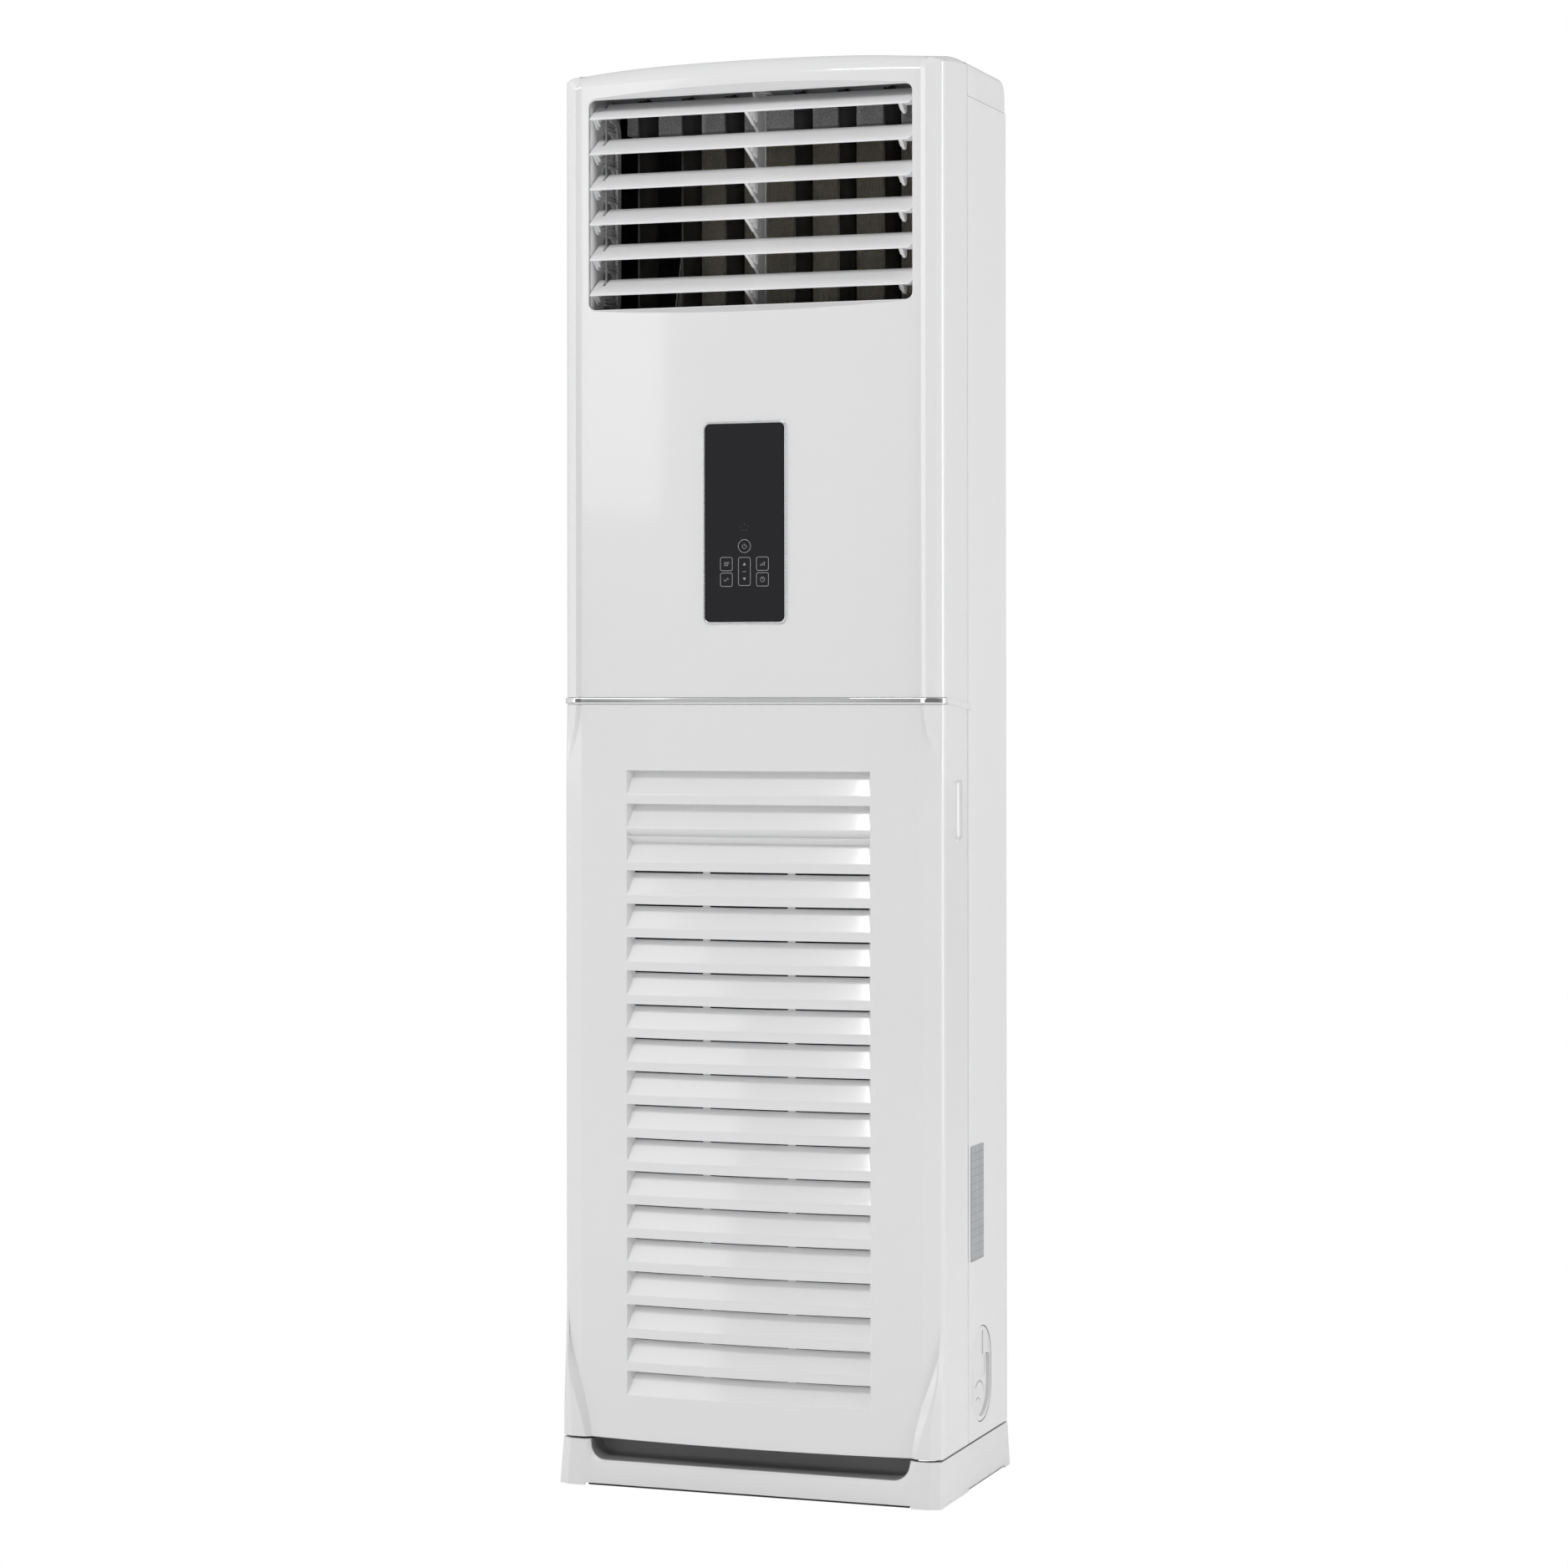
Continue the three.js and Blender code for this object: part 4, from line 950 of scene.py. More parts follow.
def side_sheet(sign, hole):
    z0, z1 = 57.8, 1701.0
    put = lambda s, z: P(sign * 245.0, s, z)
    face = flat([(108.9, z0), (271.5, z0), (271.5, z1), (108.9, z1)], [hole] if hole else [], put)
    fold_b = []
    for a in (0, 22, 45, 67, 90):
        c, d = math.cos(math.radians(a)), math.sin(math.radians(a))
        fold_b.append((245.0 - 3.5 * (1 - c), 271.5 + 3.5 * d))
    fold_b.append((231.2, 275.0))
    fold_f = []
    for a in (0, 30, 60, 90):
        c, d = math.cos(math.radians(a)), math.sin(math.radians(a))
        fold_f.append((245.0 - 0.5 * (1 - c), 108.9 - 0.5 * d))
    fold_f.append((236.5, 108.4))
    strips = []
    for fold in (fold_b, fold_f):
        strips.append(sheet_mesh([[P(sign * x, s, z) for x, s in fold] for z in (z0, z1)]))
    return combine(face, *strips)


hole = obround(162.5, 115.5, 153.5, 40.2)
for sign, name in ((1, "right"), (-1, "left")):
    ob = mesh_object(name + "_side_sheet", *side_sheet(sign, hole if sign > 0 else None), "steel_white", sharp=35)
    outward(ob, (0, 0, 0.88))
    solidify(ob, 1.2)
    weighted(ob)
    place(ob, "root", [name + "_side_panel"])

# ---- cap behind the crown ------------------------------------------------
def cap_ring(z):
    h = max(0.0, z - 1719.0)
    back_in = 24 - math.sqrt(max(0.0, 24.0**2 - h**2))
    hs = max(0.0, z - 1736.0)
    side_in = 7 - math.sqrt(max(0.0, 7.0**2 - hs**2))
    x1 = 244.9 - side_in
    s1 = 274.9 - back_in
    r = 9.0
    pts = [(x1 + 0.15, 108.2), (x1 + 0.15, 150), (x1, 200)]
    for a in (0, 18, 36, 54, 72, 90):
        pts.append((x1 - r + r * math.cos(math.radians(a)), s1 - r + r * math.sin(math.radians(a))))
    pts += [(120, s1), (0, s1)]
    return [P(x, s, z) for x, s in pts] + [P(-x, s, z) for x, s in pts[-2::-1]]


rows_ = [cap_ring(z) for z in (1701.4, 1702.0, 1712, 1719, 1724, 1729, 1733, 1736, 1738, 1740, 1741.4, 1742.5, 1743.0)]
cap = sheet_mesh(rows_)
top = rows_[-1]
capf = (list(top), [tuple(range(len(top)))])
ob = mesh_object("top_cap_shell", *combine(cap, capf), "gloss_white", sharp=40)
outward(ob, (0, 0.05, 1.70))
solidify(ob, 1.8)
weighted(ob)
place(ob, "root", ["top_cover"])

# ---- knock-out plate on the right side -----------------------------------
def smooth_loop(pts, n=5):
    """closed loop through points, Catmull-Rom"""
    out = []
    m = len(pts)
    for i in range(m):
        p0, p1, p2, p3 = (Vector((*pts[(i + k - 1) % m], 0)) for k in range(4))
        for q in range(n):
            t = q / n
            v = 0.5 * ((2 * p1) + (p2 - p0) * t + (2 * p0 - 5 * p1 + 4 * p2 - p3) * t * t + (3 * p1 - p0 - 3 * p2 + p3) * t**3)
            out.append((v.x, v.y))
    return out


def arc_pts(cs, cz, r, a0, a1, n):
    return [(cs + r * math.cos(math.radians(a0 + (a1 - a0) * k / n)), cz + r * math.sin(math.radians(a0 + (a1 - a0) * k / n))) for k in range(n + 1)]


def groove(cs, cz, r, w0, w1, a0, a1, n=22):
    """curved slot whose width runs from w0 to w1"""
    o, i_ = [], []
    for k in range(n + 1):
        a = math.radians(a0 + (a1 - a0) * k / n)
        w = lerp(w0, w1, k / n) / 2
        o.append((cs + (r + w) * math.cos(a), cz + (r + w) * math.sin(a)))
        i_.append((cs + (r - w) * math.cos(a), cz + (r - w) * math.sin(a)))
    return o + i_[::-1]


jay = [(179.0, 155.4), (192, 155.4)] + arc_pts(192, 149.4, 6, 75, 0, 5) + [(198, 135), (198, 118)]
jay += [(196.6, 106), (191.5, 96.5), (182.5, 88.6), (170.5, 83.0), (157.0, 81.8), (153.4, 85.2), (163, 89.6), (171.4, 96.6), (176.6, 106.6), (178.6, 117), (179.0, 135)]
slit_ = obround(167.0, 159.5, 185.0, 2.8, 8)
ramp_ = rounded(159.0, 176.8, 131.0, 155.4, 2.0, 4)
g1 = groove(152.0, 106.0, 20.6, 0.9, 2.8, 4, 138)
g2 = groove(147.0, 95.2, 11.8, 0.8, 2.2, 0, 135, 16)
XP = 244.6
face_out = obround(162.5, 115.5, 153.5, 38.9)
edge_mid = obround(162.5, 115.5, 153.5, 39.5)
parts_ = [flat(face_out, [jay, slit_, ramp_, g1, g2], lambda s, z: P(XP, s, z))]
parts_.append(walls(face_out, lambda s, z: P(XP, s, z), lambda s, z: P(XP - 0.25, 162.5 + (s - 162.5) * 1.012, 134.5 + (z - 134.5) * 1.006)))
parts_.append(walls([(162.5 + (s - 162.5) * 1.012, 134.5 + (z - 134.5) * 1.006) for s, z in face_out], lambda s, z: P(XP - 0.25, s, z), lambda s, z: P(XP - 3.0, s, z)))
for lp_, dep in ((jay, 4.6), (slit_, 4.0), (ramp_, 0.9), (g1, 2.2), (g2, 2.2)):
    parts_.append(pocket(lp_, XP, dep))
ob = mesh_object("piping_knockout_plate", *combine(*parts_), "base_white", sharp=30)
outward(ob, (0.2, 0.03, 0.13))
bevel(ob, 0.35, 2, 40)
place(ob, "root", ["piping_plate"])

# ---- plain foil plate on the right side ---------------------------------------------
lm, lnt, lb = base_mat("blank_foil")
lv = coords(lnt)
sepv = lnt.nodes.new("ShaderNodeSeparateXYZ")
lnt.links.new(lv, sepv.inputs[0])
comb = lnt.nodes.new("ShaderNodeCombineXYZ")
lnt.links.new(sepv.outputs["Y"], comb.inputs["X"])
lnt.links.new(sepv.outputs["Z"], comb.inputs["Y"])
br = lnt.nodes.new("ShaderNodeTexBrick")
br.offset = 0.0
br.inputs["Scale"].default_value = 1.0
br.inputs["Brick Width"].default_value = 0.0166
br.inputs["Row Height"].default_value = 0.0093
br.inputs["Mortar Size"].default_value = 0.00028
br.inputs["Color1"].default_value = (0.46, 0.465, 0.48, 1)
br.inputs["Color2"].default_value = (0.43, 0.435, 0.45, 1)
br.inputs["Mortar"].default_value = (0.24, 0.245, 0.255, 1)
lnt.links.new(comb.outputs[0], br.inputs["Vector"])
lnt.links.new(br.outputs["Color"], lb.inputs["Base Color"])
lnt.links.new(ramp(lnt, noise(lnt, lv, 80.0), [(0.3, (0.36,) * 3), (0.7, (0.5,) * 3)]), lb.inputs["Roughness"])
lnt.links.new(bump(lnt, noise(lnt, lv, 600.0), 0.00002, 0.3), lb.inputs["Normal"])
lb.inputs["Metallic"].default_value = 0.35
lab = rounded(117, 169, 277, 418, 2.5, 5)
ob = mesh_object("side_plate_blank", *combine(
    flat(lab, [], lambda s, z: P(245.75, s, z)),
    walls(lab, lambda s, z: P(245.75, s, z), lambda s, z: P(245.3, s, z)),
    flat(lab, [], lambda s, z: P(245.3, s, z))), lm, sharp=30)
bevel(ob, 0.15, 1, 40)
place(ob, "root", ["side_label"])

# ---- polished strip and its side ends ------------------------------------
path = [(x, bow(x)) for x in (0, 16, 33, 50, 68, 88, 108, 128, 148, 168, 184, 198, 210, 219.2)] + upper_corner(960) + [(245.2, 18.0), (245.2, 19.5)]
path = [(-x, s) for x, s in path[:0:-1]] + path


def offset_path(path_, o):
    out = []
    for i, (x, s) in enumerate(path_):
        x0, s0_ = path_[max(0, i - 1)]
        x1, s1_ = path_[min(len(path_) - 1, i + 1)]
        d = Vector((x1 - x0, s1_ - s0_)).normalized()
        out.append((x + d.y * o, s - d.x * o))
    return out


section = [(-1.2, 959.5), (1.2, 959.5), (1.65, 959.7), (1.85, 960.3), (1.9, 961.2), (1.9, 965.0), (1.85, 965.9), (1.65, 966.5), (1.2, 966.7), (-1.2, 966.7)]
lines = [(offset_path(path, o * (1.0 if o < 0 else 1.0)), z) for o, z in section]
secs = []
for i in range(len(path)):
    ring = []
    for (o, zz), (ln_, z) in zip(section, lines):
        x, s = ln_[i]
        lim = 246.6
        ring.append(P(max(-lim, min(lim, x)), s, z))
    secs.append(ring)
ob = mesh_object("polished_strip", *loft(secs), "chrome", sharp=50)
weighted(ob)
place(ob, "root", ["front_trim"])

for sign, name in ((1, "right_trim"), (-1, "left_trim")):
    def bar(inset, x):
        return [P(sign * x, s, z) for s, z in ((20.2 + inset, 959.4 + inset), (119 - inset, 951.2 + inset), (119 - inset, 958.9 - inset), (20.2 + inset, 967.2 - inset))]
    ob = mesh_object(name + "_strip", *loft([bar(0, 245.3), bar(0, 246.2), bar(0.25, 246.55), bar(0.7, 246.66)]), "gloss_white", sharp=35)
    weighted(ob)
    place(ob, "root", [name])

# ---- touch panel ---------------------------------------------------------
def ring_mesh(profile, zc=1179.0, n=6):
    """swept frame: profile of (half width, half height, corner radius, s)"""
    secs_ = []
    for hw, hh, r, s in profile:
        secs_.append([P(x, s, z + zc) for x, z in rounded(-hw, hw, -hh, hh, r, n)])
    return loft(secs_, caps=False)


prof = [(53.9, 122.9, 8.6, -11.5), (53.9, 122.9, 8.6, -14.2), (53.75, 122.75, 8.5, -14.8), (53.3, 122.3, 8.1, -15.15), (52.7, 121.7, 7.6, -15.2), (52.0, 121.0, 7.0, -15.1), (51.4, 120.4, 6.5, -14.75), (51.2, 120.2, 6.3, -14.3), (51.2, 120.2, 6.3, -11.5)]
bz = ring_mesh(prof)
nb = len(prof)
per = len(rounded(-1, 1, -1, 1, 0.5, 6))
bv, bf = bz
bf = bf + [((nb - 1) * per + i, (nb - 1) * per + (i + 1) % per, (i + 1) % per, i) for i in range(per)]
ob = mesh_object("display_ring", bv, bf, "display_ring", sharp=50)
weighted(ob)
place(ob, "root", ["display_bezel"])

gl = ring_mesh([(51.0, 120.0, 6.2, -12.0), (51.0, 120.0, 6.2, -14.5), (50.8, 119.8, 6.0, -14.82), (50.3, 119.3, 5.6, -14.9)])
gv, gf = gl
gf = gf + [tuple(range(3 * per, 4 * per)), tuple(range(per))[::-1]]
ob = mesh_object("display_glass_panel", gv, gf, "display_black", sharp=40)
weighted(ob)
place(ob, "root", ["display_glass"])

mk, mnt, mb = base_mat("printed_grey")
mv = coords(mnt)
mnt.links.new(ramp(mnt, noise(mnt, mv, 200.0), [(0.3, (0.34, 0.34, 0.35)), (0.7, (0.42, 0.42, 0.43))]), mb.inputs["Base Color"])
mb.inputs["Roughness"].default_value = 0.5
dk, dnt, db = base_mat("printed_dim")
dv = coords(dnt)
dnt.links.new(ramp(dnt, noise(dnt, dv, 200.0), [(0.3, (0.035, 0.035, 0.04)), (0.7, (0.045, 0.045, 0.05))]), db.inputs["Base Color"])
db.inputs["Roughness"].default_value = 0.4
SG = -14.93


def stroke(points, w=0.55, closed=True):
    """thin printed line, a hair proud of the glass"""
    n = len(points)
    verts, faces = [], []
    for i, (x, z) in enumerate(points):
        p0 = points[(i - 1) % n] if closed or i > 0 else points[i]
        p1 = points[(i + 1) % n] if closed or i < n - 1 else points[i]
        d = Vector((p1[0] - p0[0], p1[1] - p0[1]))
        d = d.normalized() if d.length > 1e-9 else Vector((1, 0))
        nx, nz = -d.y * w / 2, d.x * w / 2
        verts += [P(x + nx, SG, z + nz), P(x - nx, SG, z - nz)]
    for i in range(n if closed else n - 1):
        a, b = 2 * i, 2 * ((i + 1) % n)
        faces.append((a, a + 1, b + 1, b))
    return verts, faces


def dot(x, z, r, n=12):
    return [P(x + r * math.cos(2 * math.pi * k / n), SG, z + r * math.sin(2 * math.pi * k / n)) for k in range(n)], [tuple(range(n))]


def poly(points):
    return [P(x, SG, z) for x, z in points], [tuple(range(len(points)))]


marks = [stroke([(7.9 * math.cos(math.radians(a)), 1150.5 + 7.9 * math.sin(math.radians(a))) for a in range(0, 360, 12)])]
marks.append(stroke([(2.6 * math.cos(math.radians(a)), 1150.1 + 2.6 * math.sin(math.radians(a))) for a in range(125, 416, 16)], 0.45, False))
marks.append(stroke([(0, 1150.6), (0, 1153.6)], 0.45, False))
for sx in (-23.3, 23.3):
    for zc in (1129.0, 1110.0):
        marks.append(stroke([(sx + x, zc + z) for x, z in rounded(-7.7, 7.7, -8.1, 8.1, 2.2, 4)]))
marks.append(stroke([(x, 1119.8 + z) for x, z in rounded(-7.7, 7.7, -17, 17, 2.4, 4)]))
marks.append(poly([(-1.9, 1127.2), (1.9, 1127.2), (0, 1130.6)]))
marks.append(poly([(1.9, 1112.2), (-1.9, 1112.2), (0, 1108.8)]))
marks.append(stroke([(-2.4, 1119.7), (2.4, 1119.7)], 0.5, False))
for dz in (-1.8, 0, 1.8):  # level bars
    marks.append(stroke([(-26.3, 1129 + dz), (-20.3 + dz * 0.6, 1129 + dz)], 0.5, False))
for k in range(3):  # rising bars
    marks.append(stroke([(21.0 + 2.3 * k, 1126.6), (21.0 + 2.3 * k, 1128.4 + 1.5 * k)], 0.7, False))
marks.append(stroke([(-23.3 + x, 1110 + 1.6 * math.sin(x * 1.05)) for x in [k * 0.4 - 3 for k in range(16)]], 0.5, False))
marks.append(stroke([(23.3 + 2.8 * math.cos(math.radians(a)), 1110 + 2.8 * math.sin(math.radians(a))) for a in range(0, 360, 18)], 0.45))
marks.append(stroke([(23.3, 1112), (23.3, 1110), (24.7, 1110)], 0.45, False))
ob = mesh_object("touch_marks", *combine(*marks), mk, smooth=False)
for p in ob.data.polygons:
    if p.normal.y > 0:
        flip(ob)
        break
place(ob, "root", ())
dots = [dot(-5 + 5 * k, 1174.5 + 2.2 * (k % 2), 0.8) for k in range(3)] + [dot(-2.5 + 5 * k, 1170, 0.8) for k in range(2)]
ob = mesh_object("receiver_dots", *combine(*dots), dk, smooth=False)
place(ob, "root", ())


# ---- outlet: blades, brackets, centre support, vanes, coil ---------------
PIVOT_S, PIVOT_Z, PITCH = 19.1, 1683.5, 43.4
TILT = math.radians(28)
CT, ST = math.cos(TILT), math.sin(TILT)


def bp(k, x, c, n):
    """blade k: chord c and normal n about its pivot, in the rest pose"""
    return P(x, PIVOT_S + c * CT - n * ST, PIVOT_Z - PITCH * k + c * ST + n * CT)


def rel(k, x, ds, dz):
    return P(x, PIVOT_S + ds, PIVOT_Z - PITCH * k + dz)


def under(c):
    return 5 + 2 * (1 - (c / 19.0) ** 2) + 3.7 * max(0.0, (c + 3) / 22.0) ** 1.3


def blade_section(c0, c1):
    """closed outline from the nose along the underside, back over the top"""
    cs = [c0 + (c1 - c0) * t for t in (0.02, 0.08, 0.2, 0.35, 0.5, 0.65, 0.8, 0.92, 0.98)]
    pts = [(c0 + 0.12, under(c0) + 0.05)]
    pts += [(c, under(c)) for c in cs]
    pts += [(c1 - 0.1, under(c1) + 0.3), (c1, under(c1) + 0.9), (c1 - 0.2, under(c1) + 1.5)]
    pts += [(c, under(c) + lerp(2.2, 1.8, (c - c0) / (c1 - c0))) for c in cs[::-1]]
    pts += [(c0 + 0.15, under(c0) + 2.15), (c0, under(c0) + 1.7), (c0 - 0.02, under(c0) + 0.5)]
    return pts


BHALF = 207.9
LUG = [(-14.2, 5.9), (-12.0, 1.5), (-9.0, -4.0), (-7.8, -9.0), (-6.4, -11.5), (-3.8, -13.6), (0.2, -13.4), (1.6, -10.8), (3.8, -8.6), (5.6, -3.0), (9.6, 6.2)]
for k in range(6):
    body = "blade_%d" % (k + 1)
    xs = [(-BHALF, -19.5, 19.6), (-BHALF + 0.25, -19.7, 19.8), (-198.5, -19.7, 19.8), (-198.4, -19.7, 2.0), (-194.6, -19.7, 2.0), (-194.5, -19.7, 19.8)]
    xs += [(x, -19.7, 19.8) for x in (-150, -100, -50, -2, 50, 100, 150, 190, BHALF - 6.0)]
    for a in (15, 30, 45, 60, 75, 88):
        t = math.radians(a)
        xs.append((BHALF - 6.0 + 6.0 * math.sin(t), -19.7 + 6.0 * (1 - math.cos(t)), 19.8))
    secs = [[bp(k, x, c, n) for c, n in blade_section(c0, c1)] for x, c0, c1 in xs]
    surface = loft(secs)
    sur = mesh_object("louvre_blade_%d" % (k + 1), *surface, "blade_white", sharp=38)
    weighted(sur)
    place(sur, body, [body])
    for side, name in ((-1, "left"), (1, "right")):
        a, b = (-BHALF + 0.2, -BHALF + 3.2) if side < 0 else (190.5, 194.2)
        lug = loft([[bp(k, a, c, n) for c, n in LUG], [bp(k, b, c, n) for c, n in LUG]])
        inner = b if side < 0 else a
        step = [(-10.5, 5.8), (-8.2, 0.0), (-5.6, -7.0), (-3.6, -9.8), (-1.6, -9.0), (-2.6, -3.0), (-3.2, 6.4)]
        web = loft([[bp(k, inner - 0.3, c, n) for c, n in step], [bp(k, inner - side * 2.6, c, n) for c, n in step]])
        end = 209.2 if not (k == 2 and side > 0) else 212.8
        pin = tube([bp(k, side * (BHALF - 2.5), 0, 0), bp(k, side * end, 0, 0)], 2.0, 16)
        hub = tube([bp(k, side * (BHALF - (6.2 if side < 0 else 14.5)), 0, 0), bp(k, side * (BHALF - 0.2), 0, 0)], 4.2, 20)
        parts = [lug, web, pin, hub]
        if side < 0:
            parts.append(tube([bp(k, -200.2, 11, 7.4), bp(k, -193.0, 11, 7.4)], 1.4, 12))
            for xa in (-200.2, -194.4):
                ear = [(5.5, 7.0), (9.5, 5.4), (12.5, 5.4), (14.0, 8.4), (9.0, 8.4)]
                parts.append(loft([[bp(k, xa, c, n) for c, n in ear], [bp(k, xa + 1.4, c, n) for c, n in ear]]))
        lob = mesh_object("%s_hook_%d" % (name, k + 1), *combine(*parts), "blade_white", sharp=35)
        bevel(lob, 0.35, 2)
        place(lob, body)
    # rib that rides on the centre support
    rib = [(-15.6, -4.0), (-14.4, -5.4), (-7.1, -8.2), (1.9, -12.3), (8.0, -15.4), (12.0, -17.2)]
    rib += [(21.7 * math.cos(math.radians(a)), 21.7 * math.sin(math.radians(a))) for a in (-50, -40, -30, -20, -8)]
    rib += [(15.5, 6.5), (6.0, 10.2), (-4.5, 3.8), (-14.0, -1.6)]
    mid = loft([[rel(k, -6.6, s, z) for s, z in rib], [rel(k, -2.2, s, z) for s, z in rib]])
    tabs = []
    for s0, w, zb in ((-5.0, 2.0, -7.2), (4.2, 2.4, -11.8), (11.4, 2.6, -13.2)):
        tb = [(s0, 3.0), (s0, zb + 1.2), (s0 + 0.7, zb), (s0 + w - 0.7, zb), (s0 + w, zb + 1.2), (s0 + w, 3.0)]
        tabs.append(loft([[rel(k, -2.4, s, z) for s, z in tb], [rel(k, 0.6, s, z) for s, z in tb]]))
    rob = mesh_object("centre_rib_%d" % (k + 1), *combine(mid, *tabs), "blade_white", sharp=35)
    bevel(rob, 0.4, 2)
    place(rob, body)

# link bar with an eye at each blade
w = 2.0
lz0, lz1 = PIVOT_Z - PITCH * 5 + 11.7, PIVOT_Z + 11.7
ls = PIVOT_S + 11 * CT - 7.4 * ST
outline = []
right, left = [], []
for k in range(6):
    zc = lz0 + PITCH * k
    for a in (-60, -30, 0, 30, 60):
        t = math.radians(a)
        right.append((ls + 3.1 * math.cos(t), zc + 3.1 * math.sin(t)))
        left.append((ls - 3.1 * math.cos(t), zc + 3.1 * math.sin(t)))
outline = [(ls, lz0 - 4.6)] + right + [(ls, lz1 + 4.6)] + left[::-1]
link = mesh_object("blade_link_bar", *loft([[P(-197.6, s, z) for s, z in outline], [P(-195.4, s, z) for s, z in outline]]), MATS["link_grey"], sharp=35)
bevel(link, 0.3, 2)
place(link, "blade_link", ["blade_link"])

# side brackets: a wall with a window behind each blade, a raised rim at the back
def smax(z):
    for zc, sgn in ((1673.0, 1), (1462.0, -1)):
        d = (z - zc) * sgn
        if d > 0:
            return 94.0 - (19.0 - math.sqrt(max(0.0, 19.0**2 - min(d, 19.0) ** 2)))
    return 94.0


def side_bracket(sgn, node):
    X = lambda v: sgn * v
    zs = [1441.0, 1443.2, 1446.5, 1450.5, 1455.5, 1462.0]
    wins = []
    for k in range(6):
        zp = PIVOT_Z - PITCH * k
        wins.append((zp - 34.0, zp - 13.5))
    for a, b in wins[::-1]:
        for z in (a, a + 3, b - 3, b):
            if 1441.0 < z < 1711.7:
                zs.append(z)
    zs += [1673.0, 1679.0, 1684.0, 1688.0, 1690.8, 1692.0, 1711.4]
    zs = sorted(set(round(z, 3) for z in zs))
    cols = [5.0, 20.0, 35.0, 48.0, 51.0, 72.0, 75.0, 80.0]
    rows = []
    for z in zs:
        m = min(smax(z), 94.0) if z <= 1692.01 else 75.0
        top = max(75.0, m)
        row = [P(X(209.7), s, z) for s in cols[:-1]] + [P(X(209.7), max(top - 0.05, 75.01) if cols[-1] > top else 80.0, z), P(X(209.7), max(top, 75.05), z)]
        rows.append(row)

    def hole(i, j):
        zc = (zs[i] + zs[i + 1]) / 2
        inside = any(a + 0.01 < zc < b for a, b in wins)
        corner = any(a < zc < a + 3 or b - 3 < zc < b for a, b in wins)
        return inside and (3 <= j < 6) and not (corner and j in (3, 5)) and zs[i] > 1445
    ob = mesh_object(node + "_wall", *sheet_mesh(rows, hole), "blade_white", sharp=35)
    outward(ob, (0, 0, 1.57))
    ob.data.update()
    flip(ob)
    solidify(ob, 1.3, -1.0)
    place(ob, "root", [node])
    # raised rim
    outer = [(80.0, 1690.5), (86.0, 1687.8), (90.5, 1683.2), (93.2, 1677.4), (94.0, 1671.0), (94.0, 1464.0), (93.0, 1457.5), (90.0, 1452.0), (85.5, 1448.0), (80.0, 1446.0), (64.0, 1445.2)]
    inner = [(62.0, 1448.6), (76.0, 1450.5), (79.6, 1453.5), (81.6, 1458.0), (82.4, 1464.0), (82.4, 1671.0), (81.4, 1676.0), (79.0, 1680.0), (75.0, 1682.6), (62.0, 1684.6), (62.0, 1690.5)]
    ring = outer + inner
    parts = [loft([[P(X(208.5), s, z) for s, z in ring], [P(X(204.6), s, z) for s, z in ring]])]
    for k in range(6):
        zp = PIVOT_Z - PITCH * k
        for dz in (-3.2, -7.4, -11.6):
            z = zp + dz
            parts.append(box_mesh(*sorted((X(208.5), X(205.6 - (0.8 if dz < -11 else 0)))), 44.5, 84.0, z - 0.8, z + 0.8))
        arc = [(44.5, zp - 12.4), (66.0, zp - 13.2), (73.0, zp - 15.4), (77.8, zp - 19.4), (80.6, zp - 25.0), (82.4, zp - 33.0), (84.0, zp - 33.0), (84.0, zp - 10.0), (44.5, zp - 10.6)]
        parts.append(loft([[P(X(208.5), s, z) for s, z in arc], [P(X(206.6), s, z) for s, z in arc]]))
    rim = mesh_object(node + "_rim", *combine(*parts), "blade_white", sharp=35)
    bevel(rim, 0.3, 2)
    place(rim, "root")


side_bracket(-1, "left_blade_bracket")
side_bracket(1, "right_blade_bracket")

# centre support: a web behind the blades with a wave between one pivot and the next
front = []
for k in range(6):
    zp = -PITCH * k
    if k == 0:
        front += [(2.0, 28.0), (10.0, 24.6)]
    front += [(22.7 * math.cos(math.radians(a)), zp + 22.7 * math.sin(math.radians(a))) for a in (32, 16, 0, -14, -28, -40, -50)]
    if k < 5:
        front += [(16.5, zp - 18.6), (21.0, zp - 20.6), (25.6, zp - 23.4), (27.2, zp - 27.5), (23.5, zp - 30.0)]
front += [(14.0, -PITCH * 5 - 20.0), (19.0, -PITCH * 5 - 23.0)]
zt, zb = 1711.5 - PIVOT_Z, 1440.6 - PIVOT_Z
web = [(4.9, zt)] + front[1:] + [(19.0, zb), (50.5, zb), (50.5, zt)]
web = [(5.0, zt), (12.0, 23.6)] + front[2:-1] + [(13.0, zb), (50.5, zb), (50.5, zt)]
wv, wf = loft([[rel(0, -6.4, s, z) for s, z in web], [rel(0, -2.4, s, z) for s, z in web]])
foot = [box_mesh(-6.4, 6.4, 44.0, 68.0, z0, z1) for z0, z1 in ((1440.6, 1443.0), (1709.2, 1711.5))]
edge = box_mesh(-7.4, -1.4, 66.4, 69.9, 1441.0, 1711.2)
cs = mesh_object("centre_support_web", *combine((wv, wf), *foot, edge), "blade_white", sharp=35)
bevel(cs, 0.5, 2)
place(cs, "root", ["centre_support"])

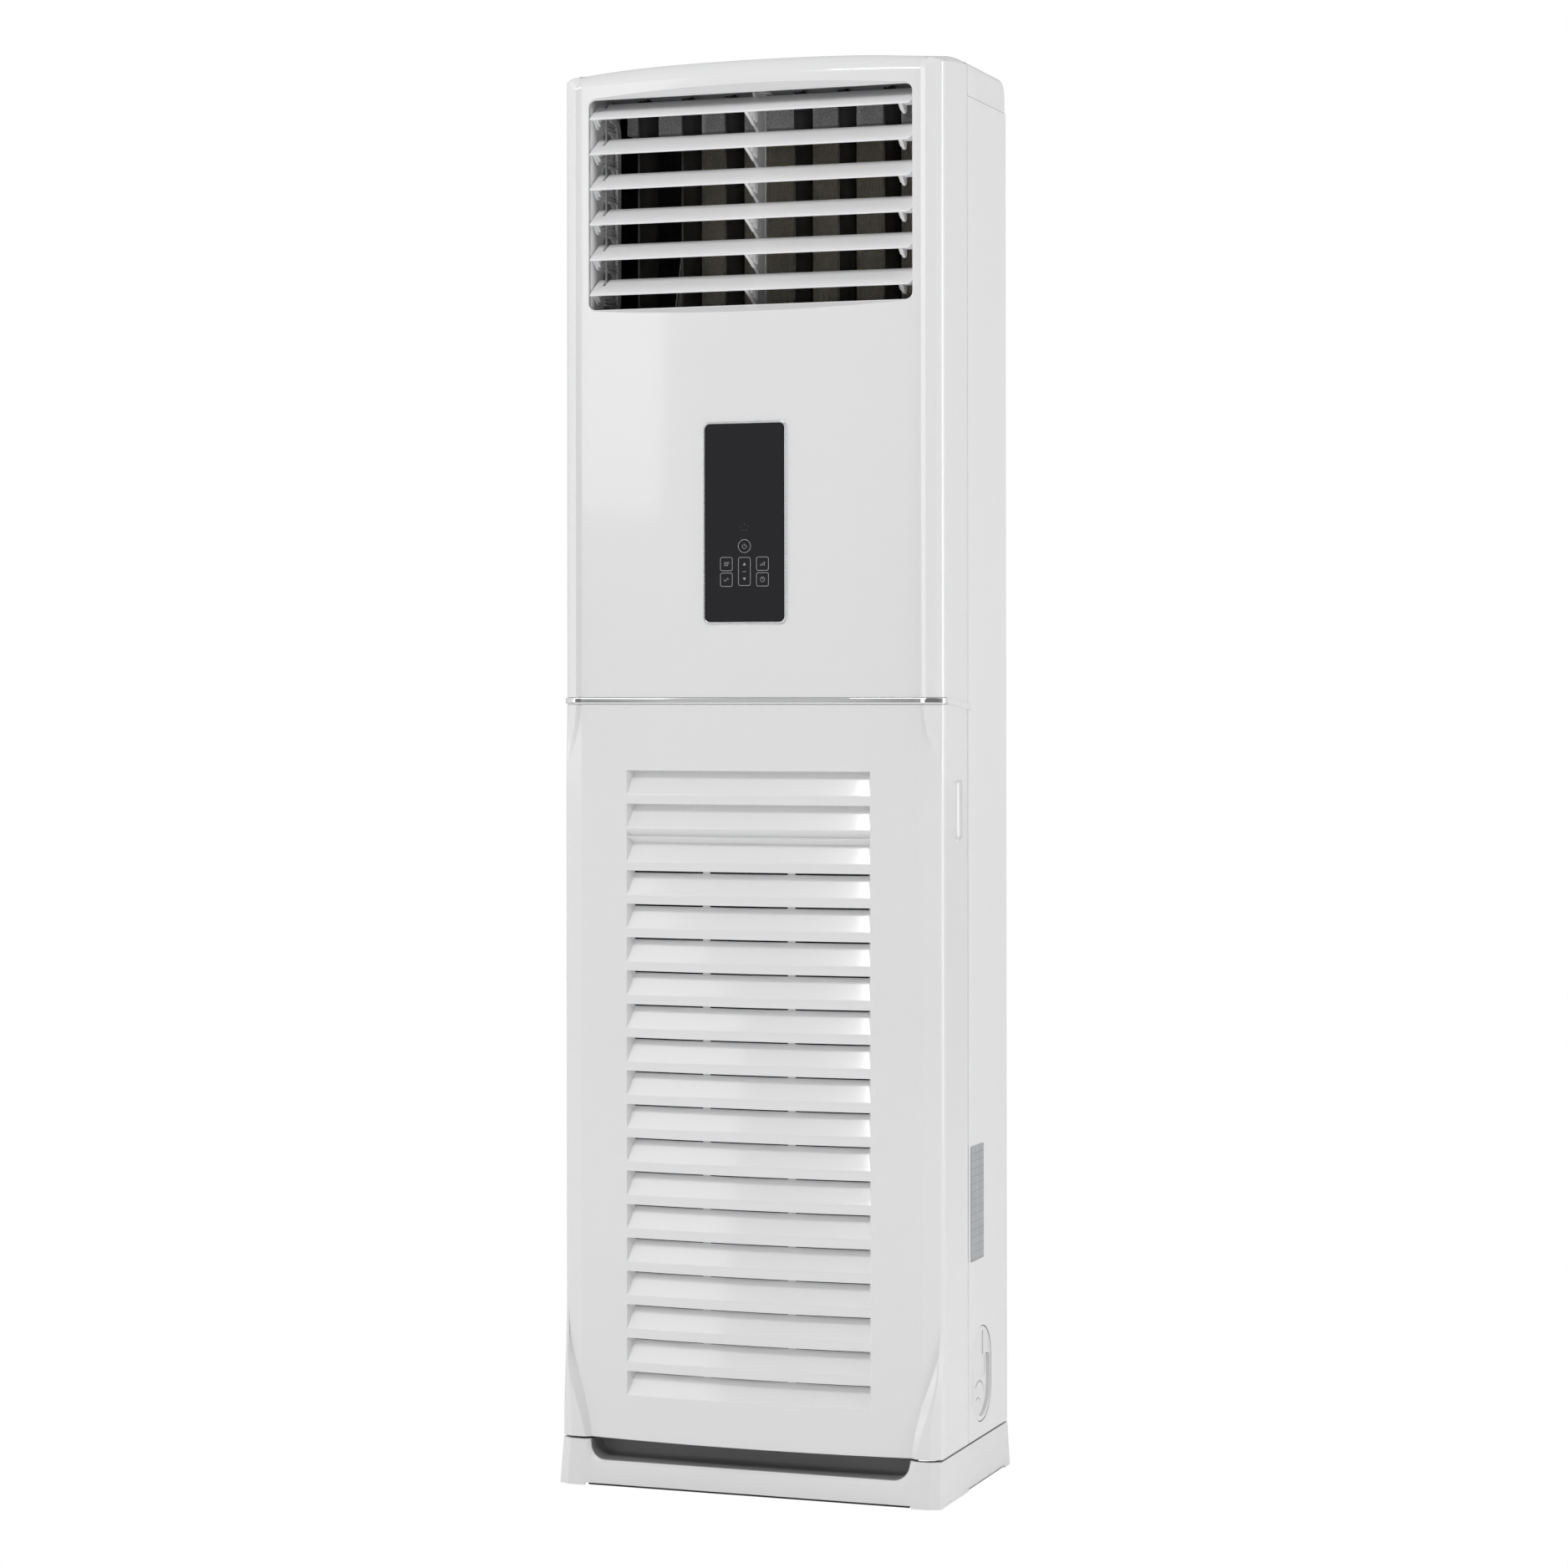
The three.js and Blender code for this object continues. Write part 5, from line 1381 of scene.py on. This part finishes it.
# upright vanes
VX, VS = (-160, -102, -45, 45, 102, 160), 74.0
for i, x in enumerate(VX):
    body = "vane_%d" % (i + 1)
    out = []
    d = 32.0
    corner = [(-d, 1451.0), (-d + 1.2, 1448.2), (-d + 4, 1447.0), (d - 8, 1447.0), (d - 2.4, 1449.4), (d, 1455.0), (d, 1699.0), (d - 2.4, 1704.6), (d - 8, 1707.0), (-d + 4, 1707.0), (-d + 1.2, 1705.8), (-d, 1703.0)]
    def ring_at(off, shrink):
        return [P(x + off, VS + s * (1 - shrink / 32.0), z + (shrink if z < 1577 else -shrink)) for s, z in corner]
    blade = loft([ring_at(-0.55, 0.9), ring_at(-1.05, 0.25), ring_at(-1.1, 0.0), ring_at(1.1, 0.0), ring_at(1.05, 0.25), ring_at(0.55, 0.9)])
    bits = [blade]
    bits.append(tube([P(x, VS, 1437.6), P(x, VS, 1453.0)], 2.5, 16))
    bits.append(tube([P(x, VS, 1701.0), P(x, VS, 1714.3)], 2.5, 16))
    bits.append(tube([P(x, VS, 1703.4), P(x, VS, 1709.6)], 5.2, 20))
    bits.append(tube([P(x, VS, 1443.0), P(x, VS, 1450.0)], 4.6, 20))
    bits.append(box_mesh(x - 1.1, x + 1.1, VS - 14.0, VS, 1706.4, 1709.2))
    bits.append(tube([P(x, 98.0, 1441.0), P(x, 98.0, 1453.0)], 1.5, 12))
    vob = mesh_object("deflector_vane_%d" % (i + 1), *combine(*bits), "vane_black", sharp=35)
    place(vob, body, [body])

half = [(VX[0] - 5, 0)]
top, bot = [], []
for x in VX:
    for a in (150, 120, 90, 60, 30):
        t = math.radians(a)
        top.append((x + 4.6 * math.cos(t), 98.0 + 3.9 * math.sin(t)))
        bot.append((x + 4.6 * math.cos(t), 98.0 - 3.9 * math.sin(t)))
vl = mesh_object("vane_link_bar", *loft([[P(x, s, 1442.1) for x, s in [(VX[0] - 4.9, 98.0)] + top + [(VX[-1] + 4.9, 98.0)] + bot[::-1]], [P(x, s, 1444.9) for x, s in [(VX[0] - 4.9, 98.0)] + top + [(VX[-1] + 4.9, 98.0)] + bot[::-1]]]), "vane_black", sharp=35)
place(vl, "vane_link", ["vane_link"])

# heat exchanger: thin fins on tubes, the tubes' collars show between the fins
F0, F1, THICK = (60.0, 1180.0), (215.0, 1677.0), 40.0
flen = math.hypot(F1[0] - F0[0], F1[1] - F0[1])
dx, dz = (F1[0] - F0[0]) / flen, (F1[1] - F0[1]) / flen
nx, nz = dz, -dx


def coil(t, m):
    return F0[0] + dx * t + nx * m, F0[1] + dz * t + nz * m


fins = []
xx = -149.6
while xx < 204.2:
    ring = [coil(0.2, 0.1), coil(flen - 0.2, 0.1), coil(flen - 0.2, THICK - 0.1), coil(0.2, THICK - 0.1)]
    fins.append(loft([[P(xx, s, z) for s, z in ring], [P(xx + 0.7, s, z) for s, z in ring]]))
    xx += 1.9
fo = mesh_object("coil_fins", *combine(*fins), "fin_aluminium", sharp=35, smooth=False)
place(fo, "root", ["evaporator_fins"])
tubes = []
for row, m in enumerate((8.0, 28.0)):
    t = 12.0 + 12.0 * row
    while t < flen - 8:
        s, z = coil(t, m)
        tubes.append(tube([P(-150.2, s, z), P(205.2, s, z)], 4.6, 12))
        t += 24.6
to = mesh_object("coil_tubes", *combine(*tubes), MATS["tube_collar"], sharp=50)
place(to, "root")

# dark foam-textured sheets behind and beside the coil: painted shade for the dark inside of the cabinet
lining = []
lining.append(box_mesh(-237.5, 237.5, 269.0, 272.6, 1182.0, 1735.0))
lining.append(box_mesh(-241.5, -238.0, 116.0, 272.0, 1182.0, 1738.0))
lining.append(box_mesh(238.0, 241.5, 116.0, 272.0, 1182.0, 1738.0))
ln = mesh_object("painted_shade_foam_lining", *combine(*lining), MATS["dark_lining"], sharp=35)
bevel(ln, 0.8, 2)
place(ln, "root")

# foam strip over the coil, cut deeper at its front
fs = [(114.2, 1698.6), (114.2, 1675.2), (115.2, 1674.2), (190.0, 1676.2), (206.0, 1681.0), (216.0, 1684.2), (271.6, 1684.2), (271.6, 1698.6)]
strip = mesh_object("coil_foam_strip", *loft([[P(x, s, z) for s, z in fs] for x in (-204.8, -120, -40, 40, 120, 204.8)]), "foam_grey", sharp=35)
bevel(strip, 0.8, 2)
place(strip, "root", ["top_foam"])
